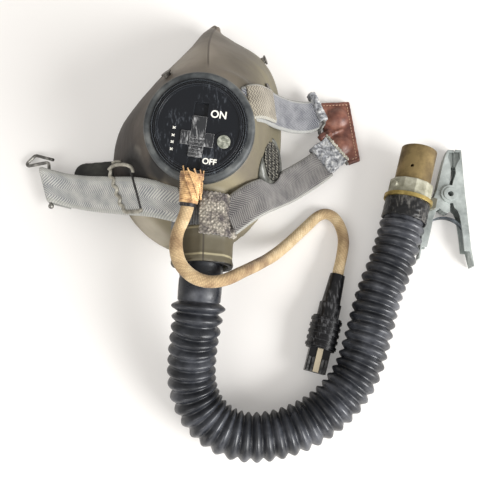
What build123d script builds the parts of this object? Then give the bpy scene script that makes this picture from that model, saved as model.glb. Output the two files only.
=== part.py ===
from build123d import *
import math
import os

# Pilot's rubber oxygen mask: facepiece with microphone, harness, corrugated
# hose, connector with spring clip, and microphone cord with its plug.
# Millimetres, +Z up. The mask lies on its face seal, and the origin is the
# point of the seal plane under the middle of the microphone.

# Whole mask: how it lies
MASK_TURN = 8.0            # degrees, nose turned towards +X
SEAL_CENTRE = (-4.0, 0.0)
OVERRUN = 1.0
CLEAR = 0.3
FIT = 0.05

# Facepiece shell
HALF_WIDTH = 58.0
NOSE_LENGTH = 104.0
CHIN_LENGTH = 62.0
WALL = 3.4
LIP_WIDTH = 14.0
LIP_THICK = 2.2
NOSE_ARCH_RADIUS = 12.0
NOSE_ARCH_REACH = 40.0
NOSE_KNOB_RADIUS = 4.2
NOSE_KNOB_HEIGHT = 14.0
NOSE_KNOB_INSET = 7.0
OUTLINE_SHARES = [
    (-0.10, 1.06), (0.15, 0.98), (0.56, 0.86), (0.83, 0.59), (0.93, 0.24),
    (0.92, -0.14), (0.75, -0.54), (0.43, -0.87), (0.00, -1.00), (-0.46, -0.88),
    (-0.84, -0.56), (-1.05, -0.16), (-1.05, 0.19), (-0.81, 0.45), (-0.53, 0.70), (-0.31, 0.92),
]
LEVEL_SHARES = [
    (0.00, 0.00), (0.12, 0.03), (0.35, 0.19), (0.60, 0.43), (0.82, 0.72), (1.00, 1.00),
]

# Cheek flap of the left seal
FLAP_CENTRE = (-66.0, -6.0)
FLAP_LENGTH = 54.0
FLAP_WIDTH = 26.0
FLAP_THICK = 1.8
FLAP_LIFT = 0.4
FLAP_TURN = 6.0            # degrees

# Microphone: face plane, housing and port
MIC_CENTRE = (1.0, -3.0, 80.0)
MIC_TILT = 14.0            # degrees, face turned towards the chin
BEZEL_RADIUS = 28.65
BEZEL_STEP = 0.9
FACE_RADIUS = 25.2
FACE_THICK = 3.6
FACE_DROP = 0.7
FACE_RIDGE = 1.0
BEZEL_GROOVE = 1.0
HOUSING_RADIUS = 26.5
HOUSING_DEPTH = 29.0
HOUSING_WALL = 2.2
HOUSING_FLOOR = 3.0
HOUSING_FLOOR_BORE = 20.0
NECK_DEPTH = 9.0
NECK_RADIUS = 33.0
PORT_RING_HEIGHT = 7.4
PORT_RING_ROUND = 2.4
PORT_RING_GAP = 0.1
NOTCH_GAP = 0.4
CAPSULE_THICK = 9.0
DIAPHRAGM_THICK = 0.6
GRILLE_THICK = 1.6
GRILLE_RIM = 2.2
GRILLE_HOLE_RADIUS = 1.3
GRILLE_RING_RADII = (5.0, 10.0, 15.0)
GRILLE_RING_HOLES = (6, 12, 18)

# Microphone switch
CHANNEL_WIDTH = 8.4
CHANNEL_LENGTH = 40.0
CHANNEL_CENTRE = -5.6
CHANNEL_DEPTH = 2.2
SLIDER_LENGTH = 24.0
SLIDER_HEIGHT = 2.4
SLIDER_RIBS = 6
SLIDER_RIB_HEIGHT = 0.9
BRIDGE_LENGTH = 19.4
BRIDGE_WIDTH = 8.0
BRIDGE_RISE = 0.8
BRIDGE_FLOOR = 0.6
BRIDGE_CENTRE = -7.0
CONTACT_LENGTH = 9.0
CONTACT_WIDTH = 3.0
CONTACT_THICK = 0.5
CONTACT_SPACING = 7.0
SCREW_PLACE = (15.7, -6.7)
SCREW_RADIUS = 3.9
SCREW_LENGTH = 7.0
SCREW_HEAD = 1.8
SCREW_SINK = 1.2
SCREW_SLOT_WIDTH = 1.0
SCREW_SLOT_DEPTH = 0.8
SCREW_SHANK_RADIUS = 1.6
SCREW_BOSS_RADIUS = 5.8
SCREW_BOSS_RISE = 0.6

# Cord where it leaves the microphone
EXIT_DEPTH = 0.6           # of the cord's axis, below the face plane
GLAND_RADIUS = 4.4
GLAND_END = 31.0
WHIP_START = 29.4
WHIP_LENGTH = 13.0
WHIP_RADIUS = 6.1
WHIP_END_RADIUS = 5.2
BAND_LENGTH = 4.5
BAND_THICK = 1.1

# Stalk at the chin, moulded with the facepiece
STALK_START = (3.0, -34.0, 43.0)
STALK_END = (1.4, -79.0, 43.0)
STALK_RADIUS = 18.5
STALK_BORE_RADIUS = 13.5
MOUTH_RADIUS = 16.2
MOUTH_DEPTH = 13.0
STALK_RIM_RISE = 0.8
STALK_RIM_WIDTH = 3.0
STALK_RIM_SPACING = 17.0
SEAM_WIDTH = 1.0
SEAM_RISE = 0.5
FERRULE_WALL = 1.0
FERRULE_LENGTH = 26.0
FERRULE_PLACE = 18.0

# Inlet valve, in the root of the stalk
INLET_PLACE = 15.5
INLET_SEAT_THICK = 1.8
INLET_SEAT_BORE = 9.5
INLET_DISC_RADIUS = 11.2
INLET_DISC_THICK = 0.9

# Spider and stem that both valves share
SPOKE_WIDTH = 1.6
HUB_RADIUS = 2.6
STEM_RADIUS = 0.9
STEM_LENGTH = 3.2

# Exhaust valve on the right cheek
EXHAUST_CENTRE = (38.0, -7.2, 34.5)
EXHAUST_AXIS = (0.90, -0.05, 0.42)
EXHAUST_RADIUS = 14.6
EXHAUST_SINK = 9.0
EXHAUST_HEIGHT = 8.5
EXHAUST_ROLL = 3.4
EXHAUST_FLOOR = 1.6
EXHAUST_BORE_RADIUS = 8.5
EXHAUST_SEAT_RADIUS = 12.2
EXHAUST_SEAT_THICK = 1.4
EXHAUST_DISC_RADIUS = 10.4
EXHAUST_DISC_THICK = 0.8
EXHAUST_COVER_THICK = 1.3
EXHAUST_HOLE_RADIUS = 0.8
EXHAUST_RING_RADII = (3.4, 6.6, 9.8)
EXHAUST_RING_HOLES = (6, 12, 18)
EXHAUST_GROOVE_WIDTH = 0.8
EXHAUST_GROOVE_DEPTH = 0.6

# Small metal studs in the rubber: shares of the way round the outline and up the shell
STUD_RADIUS = 2.4
STUD_HEIGHT = 2.6
STUD_FOOT_RADIUS = 3.4
STUD_FOOT_THICK = 1.0
STUD_SINK = 1.5
STUD_SHARES = ((0.125, 0.20), (0.17, 0.60), (0.875, 0.80))

# Corrugated hose
HOSE_RADIUS = 15.0
HOSE_ROOT_RADIUS = 12.4
HOSE_BORE_RADIUS = 10.0
HOSE_CUFF_RADIUS = 13.3
HOSE_RIBS = 44
HOSE_RIB_SHARES = (0.14, 0.36, 0.64, 0.86)
HOSE_CUFF_LENGTH = 44.0
HOSE_ROUTE = [
    (2.2, -56.0, 43.0), (0.5, -103.0, 43.0), (-4.6, -129.0, 31.5), (-5.4, -151.0, 22.0),
    (4.0, -169.5, 16.6), (24.0, -181.0, 15.0), (52.0, -178.5, 15.0), (79.0, -165.5, 15.0),
    (98.0, -144.0, 15.0), (107.0, -118.0, 15.0), (114.5, -91.0, 15.0), (127.9, -63.4, 15.0),
    (138.0, -26.4, 16.4),
]
BEND_SHARE = 0.45

# Connector at the far end of the hose
TUBE_RADIUS = 12.0
TUBE_ROOT_RADIUS = 11.6
TUBE_WALL = 1.3
TUBE_PLUNGE = 16.0
TUBE_REACH = 35.5
TUBE_HOLE_RADIUS = 1.1
TUBE_HOLE_PLACE = 19.7
TUBE_HOLE_TURN = 22.0      # degrees from the top, to the left
SLEEVE_RADIUS = 14.9
SLEEVE_LENGTH = 16.0
SLEEVE_GAP = 1.2           # to the first rib
COLLAR_RADIUS = 14.6
COLLAR_LENGTH = 10.5
COLLAR_SIDES = 12
COLLAR_STUD_RADIUS = 2.3
COLLAR_STUD_RISE = 1.8
COLLAR_STUD_TURN = 55.0    # degrees from the top, to the left
GASKET_THICK = 2.5
GASKET_WALL = 1.6
GASKET_PLACE = 4.0

# Bracket between connector and clip
BRACKET_WIDTH = 2.6
BRACKET_WALL = 1.3
LUG_LENGTH = 10.0
LUG_WIDTH = 7.0
LUG_OUT = 19.8
LUG_BACK = 3.0
LUG_HEIGHT = 3.4

# Spring clip that hangs from the connector
CLIP_PIVOT = (168.9, -20.6)
CLIP_TURN = 4.8            # degrees from +Y, towards +X
CLIP_JAW_LENGTH = 33.0
CLIP_HANDLE_LENGTH = 40.0
CLIP_HALF_WIDTH = 10.6
CLIP_SHEET = 1.0
CLIP_LIFT = 0.8
CLIP_HEIGHT = 9.6
CLIP_GAP = 0.1
CLIP_LOBE_RADIUS = 6.4
CLIP_TOOTH_WIDTH = 4.3
CLIP_TOOTH_LENGTH = 12.0
CLIP_TOOTH_DROP = 3.0
RIVET_RADIUS = 2.9
RIVET_HOLE_RADIUS = 1.9
RIVET_HEAD_RADIUS = 4.6
RIVET_HEAD_THICK = 0.6
SPRING_THICK = 0.8
SPRING_HEIGHT = 5.0
SPRING_SHARES = [(-1.55, -0.62), (-0.25, -0.40), (1.04, -0.62)]
LEFT_JAW_SHARES = [
    (0.25, 1.00), (-0.15, 1.00), (-0.33, 0.84), (-0.54, 0.57), (-0.85, 0.09), (-1.21, -0.21),
    (-1.63, -0.51), (-1.76, -0.70), (-1.86, -0.95), (-1.98, -1.18), (-1.88, -1.18), (-1.76, -0.97),
    (-1.44, -0.97), (-1.19, -0.64), (-1.09, -0.48), (-0.89, -0.32), (-0.66, -0.27), (-0.42, -0.32),
    (-0.20, -0.34), (0.02, -0.31), (0.00, 0.00), (-0.03, 0.23), (0.05, 0.57), (0.02, 0.69),
    (-0.14, 0.83), (-0.05, 0.95), (0.25, 0.95),
]
RIGHT_JAW_SHARES = [
    (0.29, 1.00), (0.69, 1.00), (0.75, 0.79), (0.89, 0.25), (0.95, 0.02), (1.04, -0.20),
    (1.22, -0.67), (1.33, -0.94), (1.52, -1.24), (1.44, -1.24), (1.22, -0.99), (0.91, -0.99),
    (0.80, -0.72), (0.69, -0.52), (0.60, -0.38), (0.46, -0.29), (0.25, -0.24), (0.00, 0.00),
    (0.19, 0.31), (0.34, 0.46), (0.32, 0.60), (0.44, 0.70), (0.62, 0.81), (0.58, 0.95), (0.29, 0.95),
]

# Webbing and the harness
WEB_WIDTH = 22.0
WEB_THICK = 2.0
YOKE_THICK = 1.8
YOKE_START = 3.0
YOKE_LENGTH = 20.0
YOKE_DROP = 5.0            # its ends, above the stalk's axis
PAD_THICK = 2.4
PAD_START_TURN = -5.0      # degrees from the top
PAD_END_TURN = 64.0
PAD_LENGTH = 26.0
LEFT_START = (-12.5, -43.0)
LEFT_ALONG = (-0.958, 0.288)
LEFT_ACROSS = (-0.31, 0.95)
LEFT_LENGTH = 98.0
LEFT_HEIGHT = 56.5
LEFT_PROFILE_SHARES = [
    (0.00, 1.00), (0.12, 0.98), (0.26, 0.87), (0.44, 0.62), (0.64, 0.37), (0.84, 0.17), (1.00, 0.14),
]
UPPER_START = (31.5, 17.5)
UPPER_ALONG = (0.907, 0.421)
UPPER_ACROSS = (0.0, 1.0)
UPPER_LENGTH = 60.0
UPPER_HEIGHT = 69.0
UPPER_PROFILE_SHARES = [(0.00, 1.00), (0.15, 0.83), (0.32, 0.56), (0.52, 0.31), (0.76, 0.14), (1.00, 0.10)]
UPPER_LOOP_SHARE = 0.26
UPPER_LOOP_EXTRA = 0.8
LOWER_START = (21.0, -50.0)
LOWER_ALONG = (0.76, 0.65)
LOWER_ACROSS = (-0.42, 0.908)
LOWER_LENGTH = 86.0
LOWER_HEIGHT = 57.0
LOWER_PROFILE_SHARES = [
    (0.00, 1.00), (0.16, 0.92), (0.29, 0.69), (0.42, 0.47), (0.58, 0.28), (0.78, 0.16), (1.00, 0.13),
]
ROLL_RADIUS = 3.4
ROLL_LENGTH = 22.5
LOWER_ROLL_RADIUS = 4.2
LOWER_LOOP_RADIUS = 2.6
LOWER_ROLL_OFFSET = 10.3

# Wire slide on the left strap
WIRE_RADIUS = 1.1
SLIDE_NEAR_SHARE = 0.31
SLIDE_FAR_SHARE = 0.47
SLIDE_WIDTH = 30.0
SLIDE_TEETH = 8
SLIDE_TOOTH_RADIUS = 1.5

# Wire hook at the end of the left strap
HOOK_ACROSS = (-0.13, 0.99)
HOOK_BAR_LENGTH = 32.5
HOOK_SIDE = 1.5            # bar's middle, from the strap's
HOOK_TIP_DROP = 5.5
HOOK_SHARES = [(0.00, 0.00, 0), (1.00, 0.00, 0), (1.03, 0.61, 1), (1.27, 0.33, 1), (1.04, -0.10, 0)]
HOOK_BEND = 2.2
HOOK_KNOB_RADIUS = 1.9

# Bent wire that joins the right straps to the tab
TAB_WIRE_HEIGHT = 8.6
TAB_WIRE_UPPER = (74.4, 56.5)
TAB_WIRE_KNEE = (84.2, 33.0)
TAB_WIRE_JOINT = (79.5, 26.0)
TAB_WIRE_LOWER = (99.4, 1.7)
TAB_WIRE_BEND = 2.4
TAB_WIRE_GAP = 6.6

# Leather tab with its two press studs
TAB_WIDTH = 27.0
TAB_LENGTH = 48.0
TAB_CORNER = (82.0, 3.8)
TAB_SHARES = [(0.00, 0.98), (0.78, 1.00), (1.00, 0.06), (0.72, 0.00), (0.08, 0.42)]
TAB_LAYER = 1.7
TAB_LIFT = 1.5
TAB_STUD_SHARES = [(0.46, 0.74), (0.50, 0.30)]
TAB_STUD_RADIUS = 5.0
TAB_STUD_CAP = 1.1
TAB_SOCKET_RADIUS = 4.6
TAB_POST_RADIUS = 1.5
TAB_DOME_RADIUS = 7.2
TAB_DOME_RISE = 2.6
TAB_LOOP_LENGTH = 4.0
TAB_LOOP_PLACE = 4.3
TAB_LOOP_WALL = 1.8

# Microphone cord and its plug
CORD_RADIUS = 3.75
CORD_ROUTE = [
    (-5.96, -50.99, 67.34), (-13.2, -66.5, 64.6), (-10.6, -81.0, 63.0), (0.0, -90.4, 62.4),
    (13.6, -91.6, 60.6), (26.5, -83.7, 51.5), (36.5, -75.1, 34.0), (46.0, -66.1, 17.5),
    (57.0, -54.7, 6.2), (68.0, -44.6, 4.0), (80.0, -32.0, 4.0), (90.0, -35.0, 4.0),
    (94.0, -48.6, 5.4), (93.2, -62.8, 10.3),
]
PLUG_START = (89.2, -77.5, 10.3)
PLUG_SLEEVE_LENGTH = 20.0
PLUG_SLEEVE_START_RADIUS = 5.0
PLUG_SLEEVE_END_RADIUS = 6.2
PLUG_COLLAR_RADIUS = 7.2
PLUG_COLLAR_LENGTH = 9.5
PLUG_BODY_RADIUS = 9.4
PLUG_BODY_LENGTH = 21.0
PLUG_RIBS = 5
PLUG_RIB_WIDTH = 1.8
PLUG_RIB_RISE = 0.8
PLUG_BLOCK_LENGTH = 15.0
PLUG_BLOCK_WIDTH = 13.5
PLUG_BLOCK_HEIGHT = 11.0
PLUG_STRIP_WIDTH = 3.6
PLUG_STRIP_RISE = 0.6
PLUG_PINS = 4
PLUG_PIN_WIDTH = 1.5
PLUG_PIN_LENGTH = 9.0
PLUG_PIN_RISE = 0.8


def save(name, shape):
    """Write one sub-part to its own file."""
    export_step(shape, f"parts/{name}.step")


def disc(plane, radius, start, end):
    """Cylinder on a plane's axis, between two places along it."""
    return extrude(plane.offset(start) * Circle(radius), amount=end - start)


def tube(plane, outer, inner, start, end):
    """Hollow cylinder on a plane's axis."""
    return disc(plane, outer, start, end) - disc(plane, inner, start, end)


def hole_rings(plane, radii, counts, hole, start, end):
    """Small round holes on rings round a plane's axis, with one in the middle."""
    drills = disc(plane, hole, start, end)
    for ring, count in zip(radii, counts):
        for number in range(count):
            turn = 2 * math.pi * number / count
            spot = plane.offset(start) * Pos(ring * math.cos(turn), ring * math.sin(turn))
            drills += extrude(spot * Circle(hole), amount=end - start)
    return drills


def wire_rod(points, radius, bend):
    """Bent wire through points, with one bend radius."""
    path = FilletPolyline(*points, radius=bend)
    return sweep(Plane(origin=path @ 0, z_dir=path % 0) * Circle(radius), path=path)


def bend_radii(points):
    """Each corner's radius: as large as its two runs allow."""
    radii = []
    for before, corner, after in zip(points, points[1:], points[2:]):
        first = Vector(*corner) - Vector(*before)
        second = Vector(*after) - Vector(*corner)
        half_turn = math.radians(first.get_angle(second)) / 2
        radii.append(BEND_SHARE * min(first.length, second.length) / math.tan(half_turn))
    return radii


def route_path(points):
    """Straight runs joined by tangent arcs."""
    radii = bend_radii(points)
    print("bend radii", [round(radius, 1) for radius in radii])
    return FilletPolyline(*points, radius=radii)


def spider(plane, outer, bore, start, thick):
    """Valve seat: a ring with four spokes and a bored hub."""
    seat = tube(plane, outer, bore, start, start + thick)
    for spoke_turn in (0, 90):
        bar = plane.offset(start) * Rot(0, 0, spoke_turn) * Rectangle(2 * bore + FIT, SPOKE_WIDTH)
        seat += extrude(bar, amount=thick)
    seat += disc(plane, HUB_RADIUS, start, start + thick)
    return seat - disc(plane, STEM_RADIUS + FIT, start - OVERRUN, start + thick + OVERRUN)


def ribbon_side(start, along):
    """Upright plane that a strap's profile lies in."""
    return Plane(
        origin=(start[0], start[1], 0), x_dir=(along[0], along[1], 0), z_dir=(along[1], -along[0], 0)
    )


def ribbon(start, along, across, length, height, shares, thick, lift=0):
    """Webbing that follows a profile in an upright plane, with its width set across."""
    low = [(share * length, level * height + lift) for share, level in shares]
    high = [(x, y + thick) for x, y in low]
    edges = [
        Edge.make_spline([Vector(*point) for point in low]),
        Edge.make_line(Vector(*low[-1]), Vector(*high[-1])),
        Edge.make_spline([Vector(*point) for point in high]),
        Edge.make_line(Vector(*low[0]), Vector(*high[0])),
    ]
    side = ribbon_side(start, along) * Face(Wire(edges))
    skew = abs(along[0] * across[1] - along[1] * across[0])
    reach = WEB_WIDTH / 2 / skew
    return extrude(side, amount=reach, dir=(across[0], across[1], 0), both=True)


def block(plane, x, y, width, length, start, end):
    """Box on a plane, centred at a place, between two heights."""
    return extrude(plane.offset(start) * Pos(x, y) * Rectangle(width, length), amount=end - start)


def plate(plane, points, start, end):
    """Flat plate with a straight-edged outline, between two heights."""
    outline = plane.offset(start) * Polygon(*points, align=None)
    return extrude(outline, amount=end - start, dir=plane.z_dir)


def largest(shape):
    """The largest solid of a shape."""
    return max(shape.solids(), key=lambda solid: solid.volume)


# Directions of the mask and of the microphone
turn = math.radians(MASK_TURN)
tilt = math.radians(MIC_TILT)
flat_x = Vector(math.cos(turn), -math.sin(turn), 0)
flat_y = Vector(math.sin(turn), math.cos(turn), 0)
mic_z = Vector(0, -math.sin(tilt), math.cos(tilt))
mic_up = Vector(0, math.cos(tilt), math.sin(tilt))
mic_x = Vector(1, 0, 0) * math.cos(turn) - mic_up * math.sin(turn)
mic = Plane(origin=MIC_CENTRE, x_dir=mic_x, z_dir=mic_z)
mic_y = mic.y_dir
seal_centre = Vector(SEAL_CENTRE[0], SEAL_CENTRE[1], 0)


def seal_outline(inset):
    """Points of the seal's edge, from the nose clockwise, drawn in by an inset."""
    points = []
    for across, along in OUTLINE_SHARES:
        reach = NOSE_LENGTH if along > 0 else CHIN_LENGTH
        spot = flat_x * (across * HALF_WIDTH) + flat_y * (along * reach)
        points.append(seal_centre + spot * (1 - inset / spot.length))
    return points


def neck_circle(radius):
    """Points of the neck's edge round the microphone, in step with the seal's."""
    count = len(OUTLINE_SHARES)
    centre = mic.origin - mic.z_dir * NECK_DEPTH
    points = []
    for number in range(count):
        angle = 2 * math.pi * number / count
        points.append(centre + mic.x_dir * (radius * math.sin(angle)) + mic_y * (radius * math.cos(angle)))
    return points


def level_point(low, high, level):
    """A point of the shell at one level, between its seal point and its neck point."""
    rise, draw = level
    return Vector(
        low.X + (high.X - low.X) * draw, low.Y + (high.Y - low.Y) * draw, high.Z * rise
    )


def shell_loft(inset, neck_radius):
    """The smooth body of the facepiece, from seal to neck."""
    lows = seal_outline(inset)
    highs = neck_circle(neck_radius)
    rings = []
    for level in LEVEL_SHARES:
        points = [level_point(low, high, level) for low, high in zip(lows, highs)]
        rings.append(Wire([Edge.make_spline(points, periodic=True)]))
    return Solid.make_loft(rings)


os.makedirs("parts", exist_ok=True)
outer_shell = shell_loft(0, NECK_RADIUS)
inner_shell = shell_loft(WALL, HOUSING_RADIUS + FIT)

# Facepiece with its seal lip, nose arch and stalk
stalk_line = Vector(*STALK_END) - Vector(*STALK_START)
stalk = Plane(origin=STALK_START, x_dir=(1, 0, 0), z_dir=stalk_line)
stalk_length = stalk_line.length
exhaust = Plane(origin=EXHAUST_CENTRE, x_dir=(0, 1, 0), z_dir=EXHAUST_AXIS)

lip_hole_edge = Edge.make_spline(seal_outline(LIP_WIDTH), periodic=True)
lip_hole = extrude(Face(Wire([lip_hole_edge])), amount=LIP_THICK + OVERRUN, dir=(0, 0, 1))
lip_slab = Box(
    4 * HALF_WIDTH, 4 * NOSE_LENGTH, LIP_THICK, align=(Align.CENTER, Align.CENTER, Align.MIN)
)
cavity = inner_shell - (lip_slab - lip_hole)

nose_line = seal_outline(0)[0] - seal_centre
arch_plane = Plane(origin=seal_centre, x_dir=(0, 0, 1), z_dir=nose_line)
arch = disc(
    arch_plane, NOSE_ARCH_RADIUS, nose_line.length - NOSE_ARCH_REACH, nose_line.length + NOSE_ARCH_REACH
)
knob_place = seal_centre + nose_line * (1 - NOSE_KNOB_INSET / nose_line.length)
nose_knob = Pos(knob_place.X, knob_place.Y, NOSE_KNOB_HEIGHT) * Sphere(NOSE_KNOB_RADIUS)

stalk_body = disc(stalk, STALK_RADIUS, 0, stalk_length)
for rim_end in (stalk_length, stalk_length - STALK_RIM_SPACING):
    stalk_body += disc(stalk, STALK_RADIUS + STALK_RIM_RISE, rim_end - STALK_RIM_WIDTH, rim_end)
seam_start = stalk_length - STALK_RIM_SPACING
seam = Plane(origin=stalk.origin + stalk.z_dir * seam_start, x_dir=(0, 0, 1), z_dir=stalk.z_dir)
stalk_body += extrude(
    seam * Pos(STALK_RADIUS, 0) * Rectangle(2 * SEAM_RISE, SEAM_WIDTH), amount=STALK_RIM_SPACING
)
mouth = loft([
    stalk.offset(stalk_length - MOUTH_DEPTH) * Circle(STALK_BORE_RADIUS),
    stalk.offset(stalk_length + OVERRUN) * Circle(MOUTH_RADIUS),
])
facepiece = (outer_shell + nose_knob) - arch - cavity
facepiece += stalk_body - cavity
facepiece -= disc(stalk, STALK_BORE_RADIUS, -STALK_RADIUS, stalk_length)
facepiece -= mouth
facepiece -= disc(exhaust, EXHAUST_BORE_RADIUS, -2 * EXHAUST_SINK, EXHAUST_HEIGHT)
facepiece -= disc(exhaust, EXHAUST_SEAT_RADIUS + FIT, EXHAUST_FLOOR, EXHAUST_HEIGHT)
save("facepiece", largest(facepiece))

# Cheek flap beside the left seal, and the small studs in the rubber
flap_place = Plane(origin=(FLAP_CENTRE[0], FLAP_CENTRE[1], FLAP_LIFT)) * Rot(0, 0, FLAP_TURN)
flap_outline = flap_place * RectangleRounded(FLAP_LENGTH, FLAP_WIDTH, FLAP_WIDTH / 3)
cheek_flap = extrude(flap_outline, amount=FLAP_THICK) - outer_shell
save("cheek_flap", largest(cheek_flap))

seal_points = seal_outline(0)
neck_points = neck_circle(NECK_RADIUS)
studs = []
for place, height in STUD_SHARES:
    turn = place * len(seal_points)
    number = int(turn)
    after = (number + 1) % len(seal_points)
    level = round(height * (len(LEVEL_SHARES) - 1))
    corner = level_point(seal_points[number], neck_points[number], LEVEL_SHARES[level])
    beside = level_point(seal_points[after], neck_points[after], LEVEL_SHARES[level])
    below = level_point(seal_points[number], neck_points[number], LEVEL_SHARES[level - 1])
    spot = corner + (beside - corner) * (turn - number)
    outward = (beside - corner).cross(corner - below).normalized()
    if outward.Z < 0:
        outward = outward * -1
    stud = Plane(origin=spot, z_dir=outward)
    studs.append(disc(stud, STUD_RADIUS, -STUD_SINK, STUD_HEIGHT - STUD_FOOT_THICK))
    studs[-1] += disc(stud, STUD_FOOT_RADIUS, STUD_HEIGHT - STUD_FOOT_THICK, STUD_HEIGHT)
    studs[-1] -= outer_shell
save("cheek_studs", Compound(children=[largest(stud) for stud in studs]))

# Rubber ring of the port, with a notch for the cord
ring_top = PORT_RING_HEIGHT - NECK_DEPTH
cord_exit = Plane(origin=mic.origin - mic.z_dir * EXIT_DEPTH, x_dir=mic.x_dir, z_dir=-mic_y)
port_ring = tube(mic, NECK_RADIUS, BEZEL_RADIUS + PORT_RING_GAP, -NECK_DEPTH, ring_top)
top_edges = port_ring.edges().filter_by(GeomType.CIRCLE).sort_by(Axis(mic.origin, mic.z_dir))
outer_edge = top_edges.filter_by(lambda edge: edge.radius > BEZEL_RADIUS + PORT_RING_ROUND)[-1]
port_ring = fillet(outer_edge, PORT_RING_ROUND)
port_ring -= disc(cord_exit, WHIP_RADIUS + NOTCH_GAP, HOUSING_RADIUS, NECK_RADIUS + OVERRUN)
save("microphone_port_ring", port_ring)

# Microphone housing: flange, body and open floor
face_top = -FACE_DROP
face_low = face_top - FACE_THICK
floor_top = HOUSING_FLOOR - HOUSING_DEPTH
groove_radius = (FACE_RADIUS + BEZEL_RADIUS) / 2
housing = disc(mic, BEZEL_RADIUS, -NECK_DEPTH, 0) + disc(mic, HOUSING_RADIUS, -HOUSING_DEPTH, -NECK_DEPTH)
housing -= disc(mic, FACE_RADIUS + FIT, face_low, OVERRUN)
housing -= disc(mic, HOUSING_RADIUS - HOUSING_WALL, floor_top, face_low)
housing -= disc(mic, HOUSING_FLOOR_BORE, -HOUSING_DEPTH - OVERRUN, floor_top)
housing -= tube(
    mic, groove_radius + BEZEL_GROOVE / 2, groove_radius - BEZEL_GROOVE / 2, -BEZEL_STEP, OVERRUN
)
housing -= tube(mic, BEZEL_RADIUS + OVERRUN, BEZEL_RADIUS - BEZEL_STEP, -BEZEL_STEP, OVERRUN)
housing -= disc(cord_exit, GLAND_RADIUS + FIT, FACE_RADIUS - BEZEL_GROOVE, BEZEL_RADIUS + OVERRUN)
save("microphone_housing", largest(housing))

# Face plate with its channel, pocket, ridge and screw boss
channel_floor = face_top - CHANNEL_DEPTH
bridge_floor = channel_floor - BRIDGE_FLOOR
saddle_width = CHANNEL_WIDTH + 2 * BRIDGE_FLOOR
boss_top = face_top + SCREW_BOSS_RISE
screw_seat = boss_top - SCREW_SINK
screw = mic * Pos(SCREW_PLACE[0], SCREW_PLACE[1])
screw_plane = Plane(origin=screw.position, x_dir=mic.x_dir, z_dir=mic.z_dir)
face_plate = disc(mic, FACE_RADIUS, face_low, face_top)
face_plate += tube(mic, FACE_RADIUS, FACE_RADIUS - FACE_RIDGE, face_top, face_top + FACE_DROP)
face_plate += disc(screw_plane, SCREW_BOSS_RADIUS, face_top, boss_top)
face_plate -= block(
    mic, 0, CHANNEL_CENTRE, CHANNEL_WIDTH, CHANNEL_LENGTH, channel_floor, OVERRUN
)
face_plate -= block(
    mic, 0, BRIDGE_CENTRE, saddle_width + 2 * FIT, BRIDGE_WIDTH + 2 * FIT, bridge_floor, OVERRUN
)
face_plate -= disc(screw_plane, SCREW_RADIUS + FIT, screw_seat, OVERRUN)
face_plate -= disc(screw_plane, SCREW_SHANK_RADIUS + FIT, face_low - OVERRUN, OVERRUN)
face_plate -= disc(cord_exit, GLAND_RADIUS + FIT, FACE_RADIUS - BEZEL_GROOVE, BEZEL_RADIUS)
save("microphone_face_plate", largest(face_plate))

# Switch: slider, the bridge round it and the contacts behind the plate
slider_base = channel_floor + FIT
slider_width = CHANNEL_WIDTH - 2 * FIT
slider_top = slider_base + SLIDER_HEIGHT
slider = block(mic, 0, CHANNEL_CENTRE, slider_width, SLIDER_LENGTH, slider_base, slider_top)
rib_step = SLIDER_LENGTH / (2 * SLIDER_RIBS)
for number in range(SLIDER_RIBS):
    place = CHANNEL_CENTRE - SLIDER_LENGTH / 2 + rib_step * (number + 1 / 2)
    slider += block(
        mic, 0, place, slider_width, rib_step / 2, slider_top, slider_top + SLIDER_RIB_HEIGHT
    )
save("switch_slider", slider)

bridge = block(mic, 0, BRIDGE_CENTRE, saddle_width, BRIDGE_WIDTH, bridge_floor, face_top)
bridge += block(
    mic, 0, BRIDGE_CENTRE, BRIDGE_LENGTH, BRIDGE_WIDTH, face_top, face_top + BRIDGE_RISE
)
bridge -= block(
    mic, 0, BRIDGE_CENTRE, CHANNEL_WIDTH, BRIDGE_WIDTH + OVERRUN, channel_floor, OVERRUN
)
save("switch_bridge", bridge)

contacts = []
for side in (-1, 1):
    place = BRIDGE_CENTRE + side * CONTACT_SPACING / 2
    contacts.append(
        block(mic, 0, place, CONTACT_LENGTH, CONTACT_WIDTH, face_low - CONTACT_THICK, face_low)
    )
save("switch_contacts", Compound(children=contacts))

terminal_screw = disc(screw_plane, SCREW_RADIUS, screw_seat, screw_seat + SCREW_HEAD)
terminal_screw += disc(
    screw_plane, SCREW_SHANK_RADIUS, screw_seat + SCREW_HEAD - SCREW_LENGTH, screw_seat
)
terminal_screw -= block(
    screw_plane, 0, 0, 2 * SCREW_RADIUS + OVERRUN, SCREW_SLOT_WIDTH,
    screw_seat + SCREW_HEAD - SCREW_SLOT_DEPTH, screw_seat + SCREW_HEAD + OVERRUN
)
save("terminal_screw", terminal_screw)

# Microphone inside the housing: grille, diaphragm and capsule
inner_radius = HOUSING_FLOOR_BORE + GRILLE_RIM
grille_top = floor_top + GRILLE_THICK
grille = disc(mic, inner_radius, floor_top, grille_top)
grille -= hole_rings(
    mic, GRILLE_RING_RADII, GRILLE_RING_HOLES, GRILLE_HOLE_RADIUS,
    floor_top - OVERRUN, grille_top + OVERRUN
)
save("microphone_grille", grille)
diaphragm_top = grille_top + DIAPHRAGM_THICK
save("microphone_diaphragm", disc(mic, inner_radius, grille_top, diaphragm_top))
capsule = disc(mic, inner_radius, diaphragm_top, diaphragm_top + CAPSULE_THICK / 2)
capsule += disc(
    mic, inner_radius - GRILLE_RIM, diaphragm_top + CAPSULE_THICK / 2, diaphragm_top + CAPSULE_THICK
)
save("microphone_capsule", capsule)

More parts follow.
